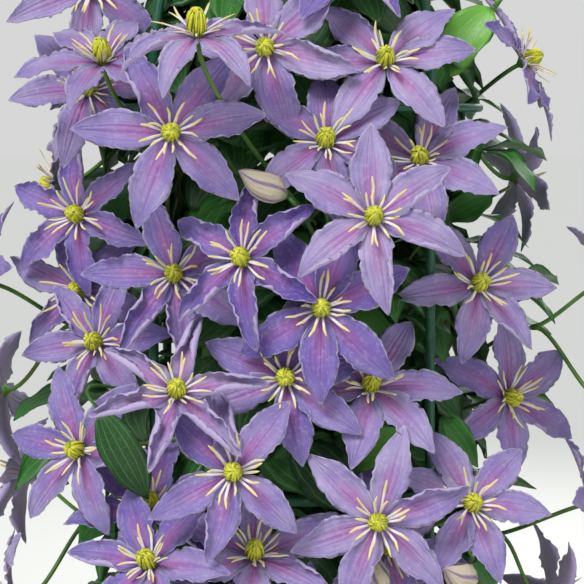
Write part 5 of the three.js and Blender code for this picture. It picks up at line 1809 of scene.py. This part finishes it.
@dataclass
class Support:
    """Round rods: four legs that bend into a dome, two rings, a finial and the weld beads between them."""

    rod: float = 2.5
    thin: float = 0.9
    legs: int = 4
    foot_z: float = 160.0
    rings: tuple[float, float] = (345.0, 543.0)
    radius: float = 100.0
    dome_z: float = 556.0
    dome_height: float = 132.0
    finial: float = 7.0
    neck_radius: float = 5.2
    neck_height: float = 2.2
    neck_drop: float = 5.5
    weld_radius: float = 3.2
    weld_height: float = 4.75

    @property
    def turns(self) -> Array:
        """The legs' turns round the middle."""
        return circle(self.legs) + np.pi / self.legs

    def leg_paths(self) -> Array:
        """The legs: straight up, then a quarter of an ellipse to the middle."""
        z = np.linspace(self.foot_z, self.dome_z, 24)[:-1]
        bend = np.linspace(0, 0.98, 26) * np.pi / 2
        r = np.concatenate([np.full(len(z), self.radius), self.radius * np.cos(bend)])
        height = np.concatenate([z, self.dome_z + self.dome_height * np.sin(bend)])
        turn = self.turns[:, None]
        return np.stack([r * np.cos(turn), r * np.sin(turn), height + 0 * turn], axis=-1)

    def hoop(self, z: float) -> Surface:
        """A ring of round rod: a small circle carried round a large one, closed on itself."""
        sides, steps = 12, 96
        u, v = np.meshgrid(circle(steps), circle(sides), indexing="ij")
        small = self.rod * self.thin
        r = self.radius + small * np.cos(v)
        points = np.stack([r * np.cos(u), r * np.sin(u), z + small * np.sin(v)], axis=-1).reshape(-1, 3)
        faces = ring_quads(steps, sides, True)[:, ::-1]
        grid = np.stack([u, v], axis=-1).reshape(-1, 2) / (2 * np.pi)
        zero = np.zeros(len(faces))
        return Surface(points, faces, grid[faces], zero, zero, zero.astype(int))

    def bead(self, place: Array, radius: float, height: float) -> Surface:
        """A lump round a joint: a turned arch, fullest in its middle."""
        bend = np.linspace(-0.98, 0.98, 9) * np.pi / 2
        profile = np.stack([radius * np.cos(bend), height * np.sin(bend)], axis=-1)
        return turned(profile, 14, 0).placed(np.eye(3), place)

    def build(self) -> None:
        """Makes the support in one piece."""
        paths = self.leg_paths()
        parts = [rods(paths, np.full(paths.shape[:2], self.rod), 12, 0, np.zeros(self.legs))]
        for z in self.rings:
            parts.append(self.hoop(z))
            for angle in self.turns:
                place = np.array([self.radius * math.cos(angle), self.radius * math.sin(angle), z])
                parts.append(self.bead(place, self.weld_radius, self.weld_height))
        top = np.array([0.0, 0.0, self.dome_z + self.dome_height + 1])
        parts.append(self.bead(top, self.finial, self.finial))
        parts.append(self.bead(top - UP * self.neck_drop, self.neck_radius, self.neck_height))
        piece = joined_object("support_frame", Surface.join(parts), [Finish.COAT.material()])
        stand_for(piece, ["support"])


@dataclass
class Pot:
    """A plain turned pot with a rim band, rounded edges and drain holes."""

    height: float = 230.0
    foot: float = 98.0
    top: float = 130.0
    wall: float = 8.0
    floor: float = 12.0
    rim: float = 36.0
    proud: float = 6.0
    edge: float = 3.0
    drains: int = 3
    drain_radius: float = 8.0
    drain_circle: float = 48.0
    floor_rings: tuple[float, float] = (40.0, 60.0)

    def outside(self, z: float) -> float:
        """The wall's outer radius at a height."""
        return self.foot + (self.top - self.foot) / self.height * z

    def inside(self, z: float) -> float:
        """The wall's inner radius at a height."""
        return self.outside(z) - self.wall

    def rounded(self, r: float, z: float, start: float) -> list[tuple[float, float]]:
        """A quarter of an edge's circle round a place, from a turn on."""
        turns = np.linspace(start, start + np.pi / 2, 6)
        return [(r + self.edge * math.cos(a), z + self.edge * math.sin(a)) for a in turns]

    def profile(self) -> Array:
        """Radius and height from the underside's middle, up the outside, over the rim and down the inside."""
        edge, high, floor = self.edge, self.height, self.floor
        band = high - self.rim
        under, proud = self.outside(band), self.outside(band) + self.proud
        lip = self.top + self.proud
        points = [(r, 0.0) for r in (*self.floor_rings, self.foot - 8)]
        points += self.rounded(self.outside(edge) - edge, edge, -np.pi / 2)
        points += [(self.outside(z), z) for z in np.linspace(14, band - 4, 24)]
        points += [(under + 0.3, band - 1.2), (under + 1.6, band - 0.2)]
        points += [(proud - 2.2, band + 0.4), (proud - 0.4, band + 1.6), (proud, band + edge + 1)]
        points += [(lip - 0.6 + 0.6 * s, band + edge + s * (self.rim - 2 * edge)) for s in (0.25, 0.5, 0.75)]
        points += self.rounded(lip - edge, high - edge, 0.0)
        points += self.rounded(self.top - self.wall + edge, high - edge, np.pi / 2)
        points += [(self.inside(z), z) for z in np.linspace(high - 12, floor + 6, 12)]
        points += [(r, floor) for r in (self.inside(floor) - 4, *reversed(self.floor_rings))]
        return np.array(points)

    def build(self) -> None:
        """Turns the pot, cuts its drain holes and stands it for the solid."""
        blank = joined_object("pot_body", turned(self.profile(), 144, 0), [Finish.CLAY.material()])
        parts = []
        for angle in circle(self.drains):
            place = np.array([self.drain_circle * math.cos(angle), self.drain_circle * math.sin(angle), 0.0])
            r, ends = self.drain_radius, self.floor + 8
            profile = np.array([[r + 1.2, -8.0], [r + 1.2, -0.4], [r, 1.0], [r, ends]])
            parts.append(turned(profile, 32, 0).placed(np.eye(3), place))
        cutter = joined_object("drain_cutter", Surface.join(parts), [Finish.CLAY.material()])
        cut = blank.modifiers.new("drains", "BOOLEAN")
        cut.operation, cut.solver, cut.object = "DIFFERENCE", "EXACT", cutter
        graph = bpy.context.evaluated_depsgraph_get()
        mesh = bpy.data.meshes.new_from_object(blank.evaluated_get(graph))
        blank.modifiers.clear()
        old, blank.data = blank.data, mesh
        mesh.name = "pot_body"
        bpy.data.meshes.remove(old)
        bpy.data.objects.remove(cutter)
        stand_for(blank, ["pot"])


@dataclass
class Soil:
    """Potting mix: a body that fills the pot, its top rough, with crumbs and bark bits on it."""

    top: float = 205.0
    floor: float = 12.3
    radius_low: float = 91.1
    radius_high: float = 117.9
    rough: float = 3.5
    crumbs: int = 1500

    def height(self, x: Array, y: Array) -> Array:
        """Height of the top: two crossed waves, finer ripples, and a fall towards the wall."""
        wave = np.sin(x * 0.11) * np.cos(y * 0.13) + 0.6 * np.sin(x * 0.23 + y * 0.19)
        ripple = 0.5 * np.sin(x * 0.71 + 2 * np.sin(y * 0.31)) * np.cos(y * 0.83)
        fine = ripple + 0.25 * np.sin(x * 1.9) * np.sin(y * 2.1)
        edge = smooth(96, 117, np.hypot(x, y))
        return self.top + self.rough * wave * (1 - 0.6 * edge) + fine - 4 * edge

    def body(self) -> Surface:
        """The turned body whose upper rings follow the height of the top."""
        turn = circle(96)
        low = [[20.0, self.floor], [self.radius_low, self.floor], [self.radius_high - 0.6, self.top - 10]]
        radii = np.concatenate([np.array(low)[:, 0], np.linspace(self.radius_high - 0.8, 2.0, 48)])
        x, y = radii[:, None] * np.cos(turn), radii[:, None] * np.sin(turn)
        z = self.height(x, y)
        z[:3] = np.array(low)[:, 1:]
        return tubes(np.stack([x, y, z], axis=-1)[None], 0, np.array([0.3]))

    def bits(self) -> Surface:
        """Crumbs on the top: small lumps of six sides, each squashed, turned and sized by draws."""
        k = np.arange(self.crumbs)
        r = (self.radius_high - 4) * np.sqrt(draw(k, 1))
        angle = 2 * np.pi * draw(k, 2)
        x, y = r * np.cos(angle), r * np.sin(angle)
        size = 0.9 + 2.6 * draw(k, 3) ** 3
        turn = circle(6)
        rows = np.array([[0.55, -0.8], [1.0, -0.1], [0.6, 0.75]])
        bump = 1 + 0.3 * np.sin(turn * 2 + 6.28 * draw(k, 4)[:, None, None])
        around = rows[None, :, :1] * bump
        long = (1 + 1.4 * draw(k, 5) ** 2)[:, None, None]
        px, py = around * np.cos(turn) * long, around * np.sin(turn)
        squash = (0.4 + 0.5 * draw(k, 6))[:, None, None]
        pz = rows[None, :, 1:] * squash + 0.15 * px * spread(k, 7, 1.0)[:, None, None]
        px, py = rotated(px, py, 2 * np.pi * draw(k, 8)[:, None, None])
        base = np.stack([x, y, self.height(x, y) + size * 0.2], axis=-1)[:, None, None]
        points = base + size[:, None, None, None] * np.stack([px, py, pz], axis=-1)
        return tubes(points, 0, draw(k, 9))

    def build(self) -> None:
        """Makes the soil in one piece."""
        surface = Surface.join([self.body(), self.bits()])
        stand_for(joined_object("soil_fill", surface, [Finish.SOIL.material()]), ["soil"])


# Studio


@dataclass
class Studio:
    """A pale floor, soft lights and the camera of the view."""

    floor_radius: float = 30.0
    floor_under: float = 0.0004
    middle: tuple[float, float, float] = (0.0, 0.0, 0.45)
    key: float = 2.65
    key_softness: float = 0.45
    sky: float = 0.3
    backdrop: float = 0.72
    sky_color: tuple[float, float, float, float] = (0.95, 0.97, 1.0, 1.0)
    backdrop_color: tuple[float, float, float, float] = (0.93, 0.94, 0.93, 1.0)

    def floor(self) -> None:
        """A wide round floor, level with the pot's foot."""
        turn = circle(64)
        points = np.stack([np.cos(turn), np.sin(turn), 0 * turn], axis=-1) * self.floor_radius
        mesh = bpy.data.meshes.new("floor")
        mesh.from_pydata((points - UP * self.floor_under).tolist(), [], [list(range(len(turn)))])
        mesh.materials.append(Finish.FLOOR.material())
        linked("floor", mesh)

    def sun(self, place: tuple[float, float, float]) -> None:
        """The main light: broad and far off, from the side of a place."""
        data = bpy.data.lights.new("key", "SUN")
        data.energy, data.angle = self.key, self.key_softness
        linked("key", data).rotation_euler = look_along(-np.array(place))

    def light(self, name: str, place: tuple[float, float, float], size: float, power: float) -> None:
        """A soft square light that looks at the plant.

        Args:
            name: its name.
            place: where it hangs, in metres.
            size: its side, in metres.
            power: its power, in watts.
        """
        data = bpy.data.lights.new(name, "AREA")
        data.size, data.energy = size, power
        lamp = linked(name, data)
        lamp.location = place
        lamp.rotation_euler = look_along(np.array(self.middle) - np.array(place))

    def world(self) -> None:
        """Soft light from all round, and a plain pale backdrop where nothing stands."""
        world = bpy.data.worlds.new("studio")
        world.use_nodes = True
        tree = world.node_tree
        light, output = tree.nodes["Background"], tree.nodes["World Output"]
        light.inputs[0].default_value = self.sky_color
        light.inputs[1].default_value = self.sky
        pale = tree.nodes.new("ShaderNodeBackground")
        pale.inputs[0].default_value = self.backdrop_color
        pale.inputs[1].default_value = self.backdrop
        mix = tree.nodes.new("ShaderNodeMixShader")
        seen = tree.nodes.new("ShaderNodeLightPath").outputs["Is Camera Ray"]
        for number, source in enumerate((seen, light.outputs[0], pale.outputs[0])):
            tree.links.new(source, mix.inputs[number])
        tree.links.new(mix.outputs[0], output.inputs[0])
        bpy.context.scene.world = world

    def camera(self) -> None:
        """The camera at the view's eye, looking at its aim, with the lens that gives half a mm to a pixel."""
        data = bpy.data.cameras.new("view")
        data.sensor_width = SENSOR
        data.lens = VIEW.focal / IMAGE_SIDE * SENSOR
        camera = linked("view", data)
        camera.location = EYE * MM
        camera.rotation_euler = look_along(AIM - EYE)
        bpy.context.scene.camera = camera

    def build(self) -> None:
        """Sets up the whole studio."""
        self.floor()
        self.sun((-0.7, -1.25, 1.45))
        self.light("fill", (1.8, -1.6, 1.0), 1.6, 10.0)
        self.light("back", (0.6, 1.9, 1.6), 1.6, 20.0)
        self.world()
        bpy.context.scene.view_settings.view_transform = "Standard"
        self.camera()


def look_along(way: Array) -> tuple[float, float, float]:
    """The turns about X, Y and Z that point a camera or a light, which looks down its own Z, along a way."""
    x, y, z = unit(np.asarray(way, dtype=float))
    return (math.acos(-z), 0.0, math.atan2(-x, y))


def main() -> None:
    """Builds the plant piece by piece, then the studio."""
    logging.basicConfig(level=logging.INFO, format="%(message)s")
    Pot().build()
    Soil().build()
    Support().build()
    front, side, closed = FrontBlooms(), Sprays(), Buds()
    blooms, sprays, buds = front.find(), side.find(), closed.find()
    foliage = Foliage()
    for bloom in blooms:
        end = bloom.place - bloom.face * (HUB_UNDER + 2 * GAP)
        foliage.stalk_to(end, bloom.face, STALK_RADIUS, bloom.seat() - bloom.face * HUB_UNDER)
    for bud in buds:
        end = bud.place - bud.face * 2 * GAP
        foliage.stalk_to(end, bud.face, STALK_RADIUS, bud.seat() - bud.face * GAP)
    foliage.add_front_leaves()
    for spray in sprays:
        end = spray.fork - spray.face * (STALK_RADIUS + 2 * GAP)
        foliage.stalk_to(end, spray.face, STALK_RADIUS, spray.fork)
    foliage.add_leaves()
    foliage.add_inner_leaves()
    front.build(blooms)
    side.build(sprays)
    closed.build(buds)
    foliage.build()
    Studio().build()
    counts = (len(foliage.leaves), len(foliage.inner), len(foliage.stalks))
    log.info("leaves %d, inner leaves %d, stalks %d", *counts)


if __name__ == "__main__":
    main()
